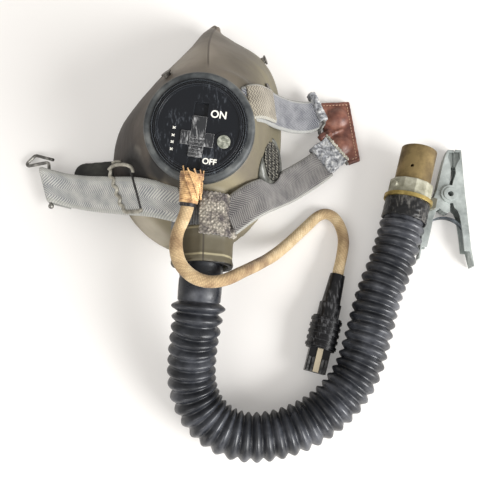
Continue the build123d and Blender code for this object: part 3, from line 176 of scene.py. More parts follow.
def lay_along(work, line, across=None):
    """Bend a piece modelled straight along +X onto a line; its width, +Y, follows across."""
    places = line_places(line)
    number = 0
    for vertex in sorted(work.verts, key=lambda item: item.co.x):
        x, y, z = vertex.co
        while number < len(line) - 2 and places[number + 1] < x:
            number += 1
        run = line[number + 1] - line[number]
        share = (x - places[number]) / run.length
        before = line[max(number - 1, 0)]
        after = line[min(number + 2, len(line) - 1)]
        first = (line[number + 1] - before).normalized()
        second = (after - line[number]).normalized()
        along = first.lerp(second, min(max(share, 0), 1)).normalized()
        if across is None:
            side = Vector((0, 0, 1)).cross(along).normalized()
        else:
            side = across(min(max(x / places[-1], 0), 1))
        up = along.cross(side).normalized()
        vertex.co = line[number] + run * share + side * y + up * z


def tube_work(radius, length, sides, rings):
    """A closed straight tube of quads along +X, starting at the origin."""
    work = bmesh.new()
    bmesh.ops.create_cone(
        work, cap_ends=True, segments=sides, radius1=radius, radius2=radius, depth=length
    )
    bmesh.ops.rotate(work, verts=work.verts, matrix=Matrix.Rotation(math.radians(90), 3, "Y"))
    bmesh.ops.translate(work, verts=work.verts, vec=(length / 2, 0, 0))
    runs = [edge for edge in work.edges if abs(edge.verts[0].co.x - edge.verts[1].co.x) > length / 2]
    bmesh.ops.subdivide_edges(work, edges=runs, cuts=rings - 1, use_grid_fill=True)
    return work


def wrap_uv(work):
    """UV in metres: along the tube, and round it."""
    layer = work.loops.layers.uv.new("UVMap")
    for face in work.faces:
        middle = face.calc_center_median()
        radius = max(math.hypot(middle.y, middle.z), 1e-6)
        centre = math.atan2(middle.z, middle.y)
        for loop in face.loops:
            x, y, z = loop.vert.co
            turn = math.atan2(z, y)
            if turn - centre > math.pi:
                turn -= 2 * math.pi
            if centre - turn > math.pi:
                turn += 2 * math.pi
            loop[layer].uv = (x, turn * radius)


def finish_piece(work, name, material, replaced=(), smooth=True):
    """Close the modelling: make the object, give it its finish and fix it to the mask."""
    bmesh.ops.recalc_face_normals(work, faces=work.faces)
    for face in work.faces:
        face.smooth = smooth
    mesh = bpy.data.meshes.new(name)
    work.to_mesh(mesh)
    work.free()
    piece = bpy.data.objects.new(name, mesh)
    scene.collection.objects.link(piece)
    mesh.materials.append(material)
    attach(piece, "root")
    if replaced:
        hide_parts(*replaced)
    return piece


mottle, mottle_in, mottle_out = new_group(
    "mottle",
    [("Light", "Color", None), ("Middle", "Color", None), ("Dark", "Color", None),
     ("Scale", "Float", 100.0), ("Reach", "Float", 0.5), ("Vector", "Vector", None)],
    [("Color", "Color"), ("Mask", "Float")],
)
broad = add_node(
    mottle, "TexNoise",
    {"Vector": mottle_in["Vector"], "Scale": mottle_in["Scale"],
     "Detail": 5.0, "Roughness": 0.62}
)
spread = remap(mottle, broad.outputs["Fac"], 0.34, 0.66)
dark_side = remap(mottle, spread, 0, 0.5)
light_side = remap(mottle, spread, 0.5, 1)
light_reach = calc(mottle, "MULTIPLY", light_side, mottle_in["Reach"])
lower = mix_colors(mottle, dark_side, mottle_in["Dark"], mottle_in["Middle"])
upper = mix_colors(mottle, light_reach, lower, mottle_in["Light"])
mottle.links.new(upper, mottle_out["Color"])
mottle.links.new(spread, mottle_out["Mask"])


def mottled(tree, shader, light, middle, dark, scale, reach):
    """Blotches of three paints as a finish's base colour."""
    where = add_node(tree, "TexCoord").outputs
    shades = add_group(tree, mottle, {
        "Light": tone(*light), "Middle": tone(*middle), "Dark": tone(*dark),
        "Scale": scale, "Reach": reach, "Vector": where["Object"],
    })
    join(tree, shades.outputs["Color"], shader, "Base Color")
    return shades.outputs


def scaled(tree, color, amount):
    """A colour made lighter or darker."""
    return add_value(tree, "VectorMath", {0: color, "Scale": amount}, operation="SCALE")


def add_relief(tree, shader, height, strength, depth, normal=None, invert=False):
    """Fine relief in a finish's shading, its depth in millimetres."""
    inputs = {"Height": height, "Strength": strength, "Distance": depth * MM}
    if normal:
        inputs["Normal"] = normal
    relief = add_value(tree, "Bump", inputs, invert=invert)
    join(tree, relief, shader, "Normal")


CORD_RADIUS = 3.7 * MM
CORD_FADE = 6 * MM
cord_route = [
    (-4.90, -43.60, 69.26), (-5.96, -50.99, 67.34), (-13.2, -66.5, 64.6), (-10.6, -81.0, 63.0),
    (0.0, -90.4, 62.4), (13.6, -91.6, 60.6), (26.5, -83.7, 51.5), (36.5, -75.1, 34.0), (46.0, -66.1, 17.5),
    (57.0, -54.7, 6.2), (68.0, -44.6, 4.0), (80.0, -32.0, 4.0), (90.0, -35.0, 4.0),
    (95.2, -48.6, 5.4), (93.2, -62.8, 10.3), (89.2, -77.5, 10.3),
]
cord_line = smooth_line(cord_route)
cord_length = line_places(cord_line)[-1]
cord_work = tube_work(CORD_RADIUS, cord_length, 24, 260)
wrap_uv(cord_work)
for vertex in cord_work.verts:
    x, y, z = vertex.co
    turn = math.atan2(z, y)
    ends = min(1, x / CORD_FADE, (cord_length - x) / CORD_FADE)
    swell = 0.035 * math.sin(2 * turn + 55 * x) + 0.10 * noise.noise((x * 70, y * 120, z * 120))
    groove = -0.07 * math.exp(-((abs(turn - 1.2 - 14 * x) - 0.3) / 0.25) ** 2)
    keep = 1 + (swell + groove) * max(ends, 0)
    vertex.co.y, vertex.co.z = y * keep * 1.03, z * keep * 0.95
lay_along(cord_work, cord_line)

cord_finish, tree, shader = new_finish(
    "tan_cotton_braid", Roughness=0.82, Sheen_Weight=0.15, Sheen_Roughness=0.5
)
where = add_node(tree, "TexCoord").outputs
shades = mottled(tree, shader, (236, 216, 176), (192, 165, 124), (134, 106, 74), 42.0, 0.85)
ribs = add_node(
    tree, "TexWave",
    {"Vector": where["UV"], "Scale": 320.0, "Distortion": 1.2, "Detail": 1.0, "Detail Scale": 2.0},
    wave_type="BANDS", bands_direction="X"
)
plaits = add_node(
    tree, "TexWave", {"Vector": where["UV"], "Scale": 260.0, "Distortion": 2.0, "Detail": 1.0},
    wave_type="BANDS", bands_direction="DIAGONAL"
)
weave = calc(tree, "MULTIPLY", ribs.outputs["Fac"], plaits.outputs["Fac"])
thread = remap(tree, weave, 0, 1, 0.74, 1.06)
lit = scaled(tree, shades["Color"], thread)
join(tree, lit, shader, "Base Color")
add_relief(tree, shader, weave, 0.6, 0.25)
cord_piece = finish_piece(cord_work, "cord_braid", cord_finish, ["microphone_cord"])

# Corrugated hose: black moulded rubber with plain cuffs, pushed into the stalk and
# over the connector. Its ribs are round bellows that open on the outside of a bend.
def clouded(tree, vector, scale, detail):
    """Cloudy values, from 0 to 1."""
    return add_node(tree, "TexNoise", {"Vector": vector, "Scale": scale, "Detail": detail}).outputs["Fac"]


HOSE_RADIUS = 15.0 * MM
HOSE_ROOT = 12.3 * MM
HOSE_CUFF = 13.3 * MM
HOSE_CUFF_LENGTH = 44.0 * MM
HOSE_END_LENGTH = 17.2 * MM
HOSE_LIP = 3 * MM
HOSE_RIBS = 44
HOSE_FADE = 12 * MM
CUFF_RINGS = (0.55, 0.61, 0.67)
hose_route = [
    (2.2, -56.0, 43.0), (0.5, -103.0, 43.0), (-4.6, -129.0, 31.5), (-5.4, -151.0, 22.0),
    (4.0, -169.5, 16.6), (24.0, -181.0, 15.0), (52.0, -178.5, 15.0), (79.0, -165.5, 15.0),
    (98.0, -144.0, 15.0), (107.0, -118.0, 15.0), (114.5, -91.0, 15.0), (127.9, -63.4, 15.0),
    (138.0, -26.4, 16.4),
]
hose_line = smooth_line(hose_route)
hose_length = line_places(hose_line)[-1]
rib_pitch = (hose_length - HOSE_CUFF_LENGTH - HOSE_END_LENGTH) / HOSE_RIBS
RIB_STEPS = 10
hose_work = bmesh.new()
profile = [(0.0, HOSE_CUFF - HOSE_LIP), (0.0, HOSE_CUFF)]
for share in (0.30, 0.52, 0.55, 0.58, 0.61, 0.64, 0.67, 0.70, 0.86):
    groove = 0.35 * MM if share in CUFF_RINGS else 0
    profile.append((HOSE_CUFF_LENGTH * share, HOSE_CUFF - groove))
profile.append((HOSE_CUFF_LENGTH - 0.6 * MM, HOSE_CUFF - 0.2 * MM))
for number in range(HOSE_RIBS):
    big = 1.6 * MM * math.exp(-number / 1.1)
    for step in range(RIB_STEPS):
        turn = 2 * math.pi * step / RIB_STEPS
        crown = ((1 - math.cos(turn)) / 2) ** 0.62
        place = HOSE_CUFF_LENGTH + rib_pitch * (number + step / RIB_STEPS)
        profile.append((place, HOSE_ROOT + (HOSE_RADIUS + big - HOSE_ROOT) * crown))
for share, radius in ((1.0, HOSE_CUFF - 0.4 * MM), (0.9, HOSE_CUFF), (0.5, HOSE_CUFF), (0.02, HOSE_CUFF)):
    profile.append((hose_length - HOSE_END_LENGTH * share, radius))
profile.append((hose_length, HOSE_CUFF - HOSE_LIP))
corners = [hose_work.verts.new((place, radius, 0)) for place, radius in profile]
runs = [hose_work.edges.new(pair) for pair in zip(corners, corners[1:])]
bmesh.ops.spin(
    hose_work, geom=corners + runs, axis=(1, 0, 0), cent=(0, 0, 0), angle=2 * math.pi, steps=44,
    use_merge=True
)
wrap_uv(hose_work)
for vertex in hose_work.verts:
    x, y, z = vertex.co
    inside = min(max((x - HOSE_CUFF_LENGTH) / HOSE_FADE, 0), 1)
    inside *= min(max((hose_length - HOSE_END_LENGTH - x) / HOSE_FADE, 0), 1)
    lean = 1.3 * MM * noise.noise((x * 22, 0, 3)) + 0.8 * MM * noise.noise((x * 60, 0, 9))
    vertex.co.x += inside * lean * y / HOSE_RADIUS
lay_along(hose_work, hose_line)

hose_finish, tree, shader = new_finish("hose_rubber", Roughness=0.34, Specular_IOR_Level=0.42)
where = add_node(tree, "TexCoord").outputs
mottled(tree, shader, (84, 86, 92), (38, 40, 45), (20, 22, 26), 55.0, 0.6)
bloom = clouded(tree, where["Object"], 180.0, 6.0)
dull = remap(tree, bloom, 0.35, 0.7, 0.26, 0.52)
join(tree, dull, shader, "Roughness")
add_relief(tree, shader, bloom, 0.25, 0.2)
hose_piece = finish_piece(hose_work, "hose_bellows", hose_finish, ["hose"])

# Facepiece: old moulded rubber, olive round the chin, darkened on the left cheek as painted shade, with a
# painted highlight on the chin's flare. It has the mould's seam down its nose, a swelling beside the ring
# and a hollow cheek, painted near black as shadow.
def worked_skin(name, voxel, softening):
    """A solid's surface as an even skin of small quads, a little softened."""
    holder = bpy.data.objects.new("skin", nodes[name].data.copy())
    even = holder.modifiers.new("even", "REMESH")
    even.voxel_size = voxel
    soften = holder.modifiers.new("soften", "SMOOTH")
    soften.iterations = softening
    work = drawn_work(holder)
    work.normal_update()
    return work


def stain(tree, under, vector, place, reach, paint, share=1.0):
    """Another colour round a place, gone at its reach; place and reach in millimetres."""
    far = vector_calc(tree, "DISTANCE", vector, tuple(value * MM for value in place))
    near = remap(tree, far, reach * MM, 0.4 * reach * MM, 0, share, interpolation_type="SMOOTHSTEP")
    return mix_colors(tree, near, under, tone(*paint))


def hump(distance, width):
    """A smooth hump, 1 in the middle and 0 beyond about twice the width."""
    return math.exp(-((distance / width) ** 2))


def between(value, low, high):
    """How far a value lies from low to high, kept from 0 to 1."""
    return min(max((value - low) / (high - low), 0), 1)


MIC_CENTRE = Vector((1, -3, 80))
MIC_AXES = Matrix((
    (0.9903, -0.1350, -0.0337), (0.1392, 0.9609, 0.2396), (0.0, -0.2419, 0.9703),
))
HOLLOW_PLACE = Vector((-34.0, -17.0, 40.0))
HOLLOW_WAY = Vector((0.62, 0.30, -0.72))
CHEEK_EDGE = (Vector((-37.0, 0.0, 50.0)), Vector((-50.0, -9.0, 27.0)))
STALK_X, STALK_Z, STALK_FLAT = 2.1, 43.0, math.radians(22.5)
RIM_PLACES = (-58.2, -74.2)
PANEL_DEPTH = 19
RING_EDGE, RING_GROOVE = 40.5, 36
HOLLOW_DEPTH, HOLLOW_WIDTH = 5.5, 11
skin = worked_skin("facepiece", 1.3 * MM, 2)
moves = []
for vertex in skin.verts:
    place = vertex.co / MM
    local = MIC_AXES @ (place - MIC_CENTRE)
    outward = vertex.normal
    ring_place = math.hypot(local.x, local.y)
    clock = math.degrees(math.atan2(local.x, local.y))
    seam_off = place.x - 4.2 - 0.9 * math.sin(place.y / 14)
    upward = between(outward.z, 0, 0.3)
    lift = 0.55 * hump(seam_off, 0.8) * between(place.y, 36, 44) * upward
    lift += 0.9 * hump(seam_off - 3.4, 0.9) * between(place.y, 98, 106) * upward
    swelling = between(clock, 5, 30) * between(105 - clock, 0, 30) * between(outward.z, 0.1, 0.4)
    lift += swelling * (1.5 * hump(ring_place - RING_EDGE, 2.6) - hump(ring_place - RING_GROOVE, 1.8))
    side = CHEEK_EDGE[1] - CHEEK_EDGE[0]
    share = min(max((place - CHEEK_EDGE[0]).dot(side) / side.length_squared, 0), 1)
    lift += 1.5 * hump((place - CHEEK_EDGE[0] - side * share).length, 2.4) * upward
    stalk_turn = abs(math.atan2(place.x - STALK_X - 0.6, place.z - STALK_Z))
    if stalk_turn < 2 * STALK_FLAT:
        panel = 1 - math.cos(STALK_FLAT) / math.cos(stalk_turn - STALK_FLAT)
        top = between(outward.z, 0.2, 0.5)
        lift -= PANEL_DEPTH * panel * between(-place.y, 57, 60) * top
        rims = sum(hump(place.y - rim, 0.9) for rim in RIM_PLACES)
        seam_cut = 0.5 * hump(place.x - STALK_X - 1.4, 0.5)
        lift += (0.7 * rims - seam_cut) * between(-place.y, 56, 57) * top
    move = outward * (lift + 0.35 * noise.noise(place / 14) + 0.10 * noise.noise(place / 3.5))
    move += HOLLOW_WAY * (HOLLOW_DEPTH * hump((place - HOLLOW_PLACE).length, HOLLOW_WIDTH))
    moves.append(move * MM * between(place.z, 2, 6))
for vertex, move in zip(skin.verts, moves):
    vertex.co += move

old_rubber, tree, shader = new_finish("old_rubber", Roughness=0.55, Specular_IOR_Level=0.35)
where = add_node(tree, "TexCoord").outputs
spot = add_node(tree, "SeparateXYZ", {0: where["Object"]})
clouds = add_node(
    tree, "TexNoise", {"Vector": where["Object"], "Scale": 38.0, "Detail": 6.0, "Roughness": 0.6}
)
sway = calc(tree, "MULTIPLY_ADD", clouds.outputs["Fac"], 0.05, -0.025)
swayed = calc(tree, "ADD", spot.outputs["X"], sway)
across = remap(tree, swayed, -58 * MM, 48 * MM)
cheeks = add_node(tree, "ValToRGB", {"Fac": across})
# Colour across the mask from left to right: the rubber's own tones, with the dark left end painted shade on
# the left cheek, which faces away from the light.
stops = (
    (0.0, (52, 45, 40)), (0.30, (84, 76, 68)), (0.52, (124, 115, 104)), (0.78, (102, 95, 83)),
    (1.0, (106, 100, 80)),
)
while len(cheeks.color_ramp.elements) < len(stops):
    cheeks.color_ramp.elements.new(0.5)
for element, (place, paint) in zip(cheeks.color_ramp.elements, stops):
    element.position = place
    element.color = tone(*paint)
chin = remap(tree, spot.outputs["Y"], -22 * MM, -36 * MM)
olive = mix_colors(tree, chin, cheeks.outputs["Color"], tone(122, 114, 92))
drift = vector_calc(tree, "SUBTRACT", clouds.outputs["Color"], (0.5, 0.5, 0.5))
drifted = vector_calc(tree, "MULTIPLY_ADD", drift, (14 * MM,) * 3, where["Object"])
patched = olive
# Stains, one to a row: place, reach, paint and share. The dark one at (-50, -2, 38) is painted shade on the
# left cheek; the near-black ones at (-25, -23, 63) and (-41, -16, 48) are painted shadow in the hollow
# between ring, strap and cheek; the pale one at (-37, -47, 14) is a painted highlight on the chin's flare.
for place, reach, paint, share in (
    ((-50, -2, 38), 34, (46, 39, 35), 0.9), ((-39, -11, 57), 7, (136, 130, 120), 0.6),
    ((5, 86, 38), 20, (84, 77, 66), 0.7), ((-10, 54, 60), 24, (156, 147, 134), 0.8),
    ((30, 30, 68), 10, (84, 78, 68), 0.6), ((40, 46, 46), 22, (122, 114, 88), 0.6),
    ((16, -33, 58), 15, (124, 116, 94), 0.9), ((-25, -23, 63), 13, (24, 23, 23), 0.95),
    ((-41, -16, 48), 19, (22, 21, 21), 0.95), ((-14, -30, 64), 9, (40, 38, 36), 0.8),
    ((-37, -47, 14), 22, (176, 168, 152), 0.8), ((26, -50, 14), 16, (120, 112, 96), 0.6),
    ((28, 50, 55), 18, (90, 83, 72), 0.6),
):
    patched = stain(tree, patched, drifted, place, reach, paint, share)
wound = calc(tree, "DIVIDE", spot.outputs["Y"], 14 * MM)
swing = calc(tree, "SINE", wound)
seam_off = calc(tree, "MULTIPLY_ADD", swing, -0.9 * MM, spot.outputs["X"])
seam_far = calc(tree, "SUBTRACT", seam_off, 5.2 * MM)
seam_size = calc(tree, "ABSOLUTE", seam_far)
seam = remap(tree, seam_size, 0.8 * MM, 0.3 * MM, 0, 0.75)
nose_only = remap(tree, spot.outputs["Y"], 38 * MM, 44 * MM)
seamed = calc(tree, "MULTIPLY", seam, nose_only)
patched = mix_colors(tree, seamed, patched, tone(62, 54, 46))
stalk_only = remap(tree, spot.outputs["Y"], -56.5 * MM, -58.5 * MM)
stalk_tone = mix_colors(tree, stalk_only, patched, tone(86, 80, 64))
for axis, middle, half, paint in (
    ("Y", RIM_PLACES[0], 0.9, (156, 148, 120)), ("Y", RIM_PLACES[1], 0.9, (156, 148, 120)),
    ("X", STALK_X + 1.4, 0.7, (52, 46, 38)),
):
    off = calc(tree, "SUBTRACT", spot.outputs[axis], middle * MM)
    size = calc(tree, "ABSOLUTE", off)
    line = remap(tree, size, half * MM, 0.4 * half * MM, 0, 0.85)
    only = calc(tree, "MULTIPLY", line, stalk_only)
    stalk_tone = mix_colors(tree, only, stalk_tone, tone(*paint))
mouth = remap(tree, spot.outputs["Y"], -78.2 * MM, -78.7 * MM)
rubbed = mix_colors(tree, mouth, stalk_tone, tone(24, 22, 21))
speckle = remap(tree, clouds.outputs["Fac"], 0.3, 0.7, 0.86, 1.12)
shaded = scaled(tree, rubbed, speckle)
# Painted shadow: the hollow cheek round HOLLOW_PLACE is painted near black.
deep = vector_calc(tree, "DISTANCE", where["Object"], tuple(HOLLOW_PLACE * MM))
near = remap(tree, deep, 17 * MM, 9 * MM, interpolation_type="SMOOTHSTEP")
painted_hollow_shade = mix_colors(tree, near, shaded, tone(30, 27, 25))
join(tree, painted_hollow_shade, shader, "Base Color")
pores = clouded(tree, where["Object"], 700.0, 3.0)
add_relief(tree, shader, pores, 0.25, 0.15)
finish_piece(skin, "rubber_facepiece", old_rubber, ["facepiece"])

# Cheek flap: a dark tongue of moulded rubber, fixed at the facepiece's edge. It lies
# under the left strap and is curled up a little at its tip.
flap = worked_skin("cheek_flap", 0.7 * MM, 3)
for vertex in flap.verts:
    reach = between(-vertex.co.x / MM, 72, 95)
    vertex.co.z += (1.5 * reach * reach + 0.3 * noise.noise(vertex.co / MM / 9)) * MM
flap_rubber, tree, shader = new_finish("flap_rubber", Roughness=0.5)
mottled(tree, shader, (92, 92, 84), (54, 54, 50), (30, 30, 29), 60.0, 0.5)
finish_piece(flap, "rubber_flap", flap_rubber, ["cheek_flap"])

# Left strap: thin herringbone webbing from the stalk's shoulder to its loop round the
# hook, where its end is turned under.
WEB_WIDTH = 22 * MM
WEB_THICK = 1.8 * MM


def ribbon_work(length, width, thick, cuts_along, cuts_across):
    """Flat webbing along +X, thinner at its selvages, with its UV in metres."""
    work = bmesh.new()
    bmesh.ops.create_grid(work, x_segments=cuts_along, y_segments=cuts_across, size=0.5)
    for vertex in work.verts:
        vertex.co.x = (vertex.co.x + 0.5) * length
        vertex.co.y *= width
    raised = bmesh.ops.extrude_face_region(work, geom=work.faces[:])["geom"]
    for vertex in raised:
        if isinstance(vertex, bmesh.types.BMVert):
            edge = abs(vertex.co.y) * 2 / width
            vertex.co.z += thick * (0.55 if edge > 0.99 else 1)
    layer = work.loops.layers.uv.new("UVMap")
    for face in work.faces:
        for loop in face.loops:
            loop[layer].uv = loop.vert.co.xy
    return work


twill, twill_in, twill_out = new_group(
    "twill",
    [("Light", "Color", None), ("Dark", "Color", None), ("Pitch", "Float", 1.3 * MM),
     ("Stripe", "Float", 6 * MM), ("Width", "Float", WEB_WIDTH), ("Vector", "Vector", None)],
    [("Color", "Color"), ("Height", "Float")],
)
grid = add_node(twill, "SeparateXYZ", {0: twill_in["Vector"]})
zigzag = calc(twill, "PINGPONG", grid.outputs["Y"], twill_in["Stripe"])
slanted = calc(twill, "ADD", zigzag, grid.outputs["X"])
lines = calc(twill, "DIVIDE", slanted, twill_in["Pitch"])
turned = calc(twill, "MULTIPLY", lines, 2 * math.pi)
ridge = calc(twill, "SINE", turned)
rows = calc(twill, "MULTIPLY", grid.outputs["Y"], 2 * math.pi / (0.9 * MM))
row = calc(twill, "SINE", rows)
both = calc(twill, "MULTIPLY_ADD", row, 0.45, ridge)
height = remap(twill, both, -1.2, 1.2)
wear = clouded(twill, twill_in["Vector"], 90.0, 5.0)
soiled = remap(twill, wear, 0.35, 0.68, -0.22, 0.25)
mixing = calc(twill, "ADD", height, soiled, use_clamp=True)
thread = mix_colors(twill, mixing, twill_in["Dark"], twill_in["Light"])
from_middle = calc(twill, "ABSOLUTE", grid.outputs["Y"])
edge_share = calc(twill, "DIVIDE", from_middle, twill_in["Width"])
selvage = remap(twill, edge_share, 0.455, 0.48, 0, 0.55)
edged = mix_colors(twill, selvage, thread, tone(168, 168, 160))
twill.links.new(edged, twill_out["Color"])
twill.links.new(height, twill_out["Height"])


def woven_finish(name, light, dark, pitch, stripe, width=WEB_WIDTH, grain=0.5):
    """Webbing with its own thread colours and twill."""
    material, tree, shader = new_finish(name, Roughness=0.85, Sheen_Weight=0.2, Sheen_Roughness=0.6)
    where = add_node(tree, "TexCoord").outputs
    cloth = add_group(tree, twill, {
        "Light": tone(*light), "Dark": tone(*dark), "Pitch": pitch, "Stripe": stripe,
        "Width": width, "Vector": where["UV"],
    })
    join(tree, cloth.outputs["Color"], shader, "Base Color")
    add_relief(tree, shader, cloth.outputs["Height"], grain, 0.35)
    return material


def strap_piece(name, points, across, cuts, material, replaced):
    """A length of webbing laid along a line, with its width set across."""
    line = smooth_line(points)
    length = line_places(line)[-1]
    run = (line[-1] - line[0]).normalized()
    width = WEB_WIDTH / abs(run.x * across.y - run.y * across.x) * run.xy.length
    work = ribbon_work(length, width, WEB_THICK, cuts, 16)
    for vertex in work.verts:
        vertex.co.z += 0.35 * MM * noise.noise((vertex.co.x * 45, vertex.co.y * 60, 1.7))
        vertex.co.y += 0.4 * MM * noise.noise((vertex.co.x * 40, 5, vertex.co.y * 20))
    lay_along(work, line, lambda share: across)
    return finish_piece(work, name, material, replaced), length


grey_twill = woven_finish("grey_twill", (214, 213, 206), (112, 116, 122), 1.9 * MM, 7.4 * MM, grain=0.7)
left_points = [
    (-9.0, -44.3, 57.4), (-14.5, -42.4, 57.6), (-23.9, -39.6, 56.0), (-37.3, -35.5, 50.0),
    (-54.4, -30.4, 35.8), (-73.5, -24.7, 21.5), (-92.0, -19.0, 11.0), (-103.5, -15.6, 10.6),
    (-111.0, -13.4, 10.4), (-111.3, -13.3, 6.4), (-105.5, -15.0, 4.6), (-97.5, -17.3, 5.6),
]
left_strap, left_length = strap_piece(
    "left_webbing", left_points, Vector((0.31, -0.95, 0)).normalized(), 150, grey_twill,
    ["left_strap"]
)

# Slide on the left strap: a bent wire frame, wavy and bright on its far side, where its
# teeth grip the webbing, with a thin dark bar on the near side.
def wire_work(points, radius, sides=10):
    """A round wire along a smooth line, with closed ends."""
    line = smooth_line(points)
    work = tube_work(radius, line_places(line)[-1], sides, max(len(line), 40))
    lay_along(work, line)
    return work


def wire_piece(name, points, radius, material, replaced=()):
    """A piece of bent wire."""
    finish_piece(wire_work(points, radius), name, material, replaced)


def beside(place, *offsets):
    """Points at some offsets from a place."""
    return [place + Vector(offset) for offset in offsets]


def metal_finish(name, light, dark, roughness=0.35, metallic=0.85, scale=140.0, soft_edge=0.4 * MM):
    """Worn metal: patchy colour, patchy shine and edges that catch the light."""
    material, tree, shader = new_finish(name, Metallic=metallic)
    middle = [(high + low) / 2 for high, low in zip(light, dark)]
    shades = mottled(tree, shader, light, middle, dark, scale, 0.9)
    dull = remap(tree, shades["Mask"], 0, 1, roughness + 0.22, roughness)
    join(tree, dull, shader, "Roughness")
    edge = add_value(tree, "Bevel", {"Radius": soft_edge}, samples=4)
    add_relief(tree, shader, shades["Mask"], 0.2, 0.1, normal=edge)
    return material


bright_wire = metal_finish("bright_wire", (214, 210, 196), (120, 116, 106), 0.34, 0.55)
dark_wire = metal_finish("dark_wire", (96, 94, 92), (38, 36, 36), 0.42, 0.6)
SLIDE_WAVES = 4.5
SLIDE_STEPS = 27
SLIDE_WIRE = 1.15 * MM
far_low, far_high = Vector((-49.2, -41.6, 40.8)), Vector((-60.2, -13.2, 39.0))
near_low, near_high = Vector((-35.8, -44.6, 50.6)), Vector((-44.0, -17.6, 50.9))
far_bar = []
for step in range(SLIDE_STEPS + 1):
    share = step / SLIDE_STEPS
    wave = math.sin(2 * math.pi * SLIDE_WAVES * share)
    far_bar.append(far_low.lerp(far_high, share) + Vector((0.9, 0.3, 0.5)) * (0.95 * wave))
wire_piece("slide_far_bar", far_bar, SLIDE_WIRE, bright_wire, ["left_buckle"])
wire_piece(
    "slide_top_bar",
    beside(far_high, (0.4, -1.0, 0), (1.6, 1.6, 0.6))
    + beside(far_high.lerp(near_high, 0.5), (0.4, 2.6, 0.8))
    + beside(near_high, (-1.2, 2.0, 0.6), (1.4, 0.2, 0.2), (2.0, -2.6, 0)),
    SLIDE_WIRE, bright_wire,
)
wire_piece(
    "slide_hem_bar",
    beside(far_high, (2.2, 4.2, 0.2))
    + beside(far_high.lerp(near_high, 0.28), (0.4, 4.8, 0.6))
    + beside(far_high.lerp(near_high, 0.55), (0.2, 4.6, 0.6)),
    0.8 * MM, bright_wire,
)
wire_piece(
    "slide_low_bar",
    beside(far_low, (0.3, 0.6, 0), (1.2, -1.6, 0.3))
    + beside(far_low.lerp(near_low, 0.5), (0, -1.3, 0.6))
    + beside(near_low, (-0.8, -1.0, 0.2), (0.6, 0.4, 0)),
    1.25 * MM, bright_wire,
)
near_bar = [near_low, near_low.lerp(near_high, 0.5) + Vector((0, 0, 0.6)), near_high]
wire_piece("slide_near_bar", near_bar, 0.7 * MM, dark_wire)

# Upper right strap: darker, finer webbing that comes out from under the ring, drops off
# the cheek and ends in its roll.
fine_twill = woven_finish("fine_twill", (146, 147, 149), (36, 40, 58), 1.8 * MM, 3.6 * MM, grain=0.8)
upper_points = [
    (25.0, 14.5, 71.5), (31.5, 17.5, 70.2), (39.7, 21.3, 58.8), (48.9, 25.6, 40.2), (59.8, 30.6, 23.2),
    (69.5, 35.1, 12.4), (75.0, 37.6, 8.6), (80.0, 39.9, 7.6),
]
upper_strap, upper_length = strap_piece(
    "upper_webbing", upper_points, Vector((0, 1, 0)), 110, fine_twill, ["upper_right_strap"]
)

# Beige loop: a short length of coarse webbing over the root of the upper strap, tucked
# in beside the ring.
beige_points = [(29.5, 16.8, 71.0), (34.5, 19.2, 69.0), (40.0, 21.7, 61.5), (45.2, 24.1, 51.5)]
beige_cloth = woven_finish("beige_cloth", (158, 150, 133), (86, 79, 68), 2.0 * MM, 1.6 * MM, grain=0.8)
strap_piece(
    "beige_patch", beige_points, Vector((-0.12, 0.99, 0)), 30, beige_cloth,
    ["upper_strap_loop"]
)

# Lower right strap: broad grey webbing from the pad to its thick rolled end. Its upper
# edge gives way round the exhaust valve.
EXHAUST_PLACE = Vector((38.0, -7.2, 34.5))
EXHAUST_AXIS = Vector((0.90, -0.05, 0.42)).normalized()
VALVE_REACH = 16.6
warm_twill = woven_finish("warm_twill", (132, 129, 125), (52, 49, 53), 1.7 * MM, 8.0 * MM, grain=0.7)
lower_points = [
    (18.0, -52.0, 57.6), (24.0, -47.4, 58.0), (34.7, -38.2, 53.6), (43.5, -30.7, 41.0), (52.4, -23.2, 28.2),
    (63.8, -13.4, 17.2), (72.4, -6.0, 11.4), (79.0, -0.4, 8.6), (84.0, 3.8, 8.2),
]
lower_strap, lower_length = strap_piece(
    "lower_webbing", lower_points, Vector((-0.42, 0.908, 0)).normalized(), 120, warm_twill,
    ["lower_right_strap"]
)
for vertex in lower_strap.data.vertices:
    local = vertex.co / MM - EXHAUST_PLACE
    depth = local.dot(EXHAUST_AXIS)
    aside = local - EXHAUST_AXIS * depth
    push = max(VALVE_REACH - aside.length, 0) * between(9.5 - depth, 0, 2) * between(depth, -12, -10)
    vertex.co += aside.normalized() * push * MM

# Woven pieces at the stalk: the ribbed yoke round its shoulder and the coarse looped
# pad on the right, whose hem has come loose.
def dress(names, material):
    """Give CAD nodes one finish."""
    for name in names:
        nodes[name].data.materials.clear()
        nodes[name].data.materials.append(material)


ribbed_web, tree, shader = new_finish("ribbed_web", Roughness=0.85, Sheen_Weight=0.2)
where = add_node(tree, "TexCoord").outputs
ribs = add_node(
    tree, "TexWave",
    {"Vector": where["Object"], "Scale": 190.0, "Distortion": 1.0, "Detail": 2.0,
     "Detail Scale": 3.0},
    wave_type="BANDS", bands_direction="X"
)
shades = mottled(tree, shader, (128, 131, 133), (88, 91, 94), (56, 58, 60), 120.0, 0.8)
lit = remap(tree, ribs.outputs["Fac"], 0, 1, 0.55, 1.15)
ribbed = scaled(tree, shades["Color"], lit)
join(tree, ribbed, shader, "Base Color")
add_relief(tree, shader, ribs.outputs["Fac"], 0.7, 0.5)
dress(["harness_yoke"], ribbed_web)

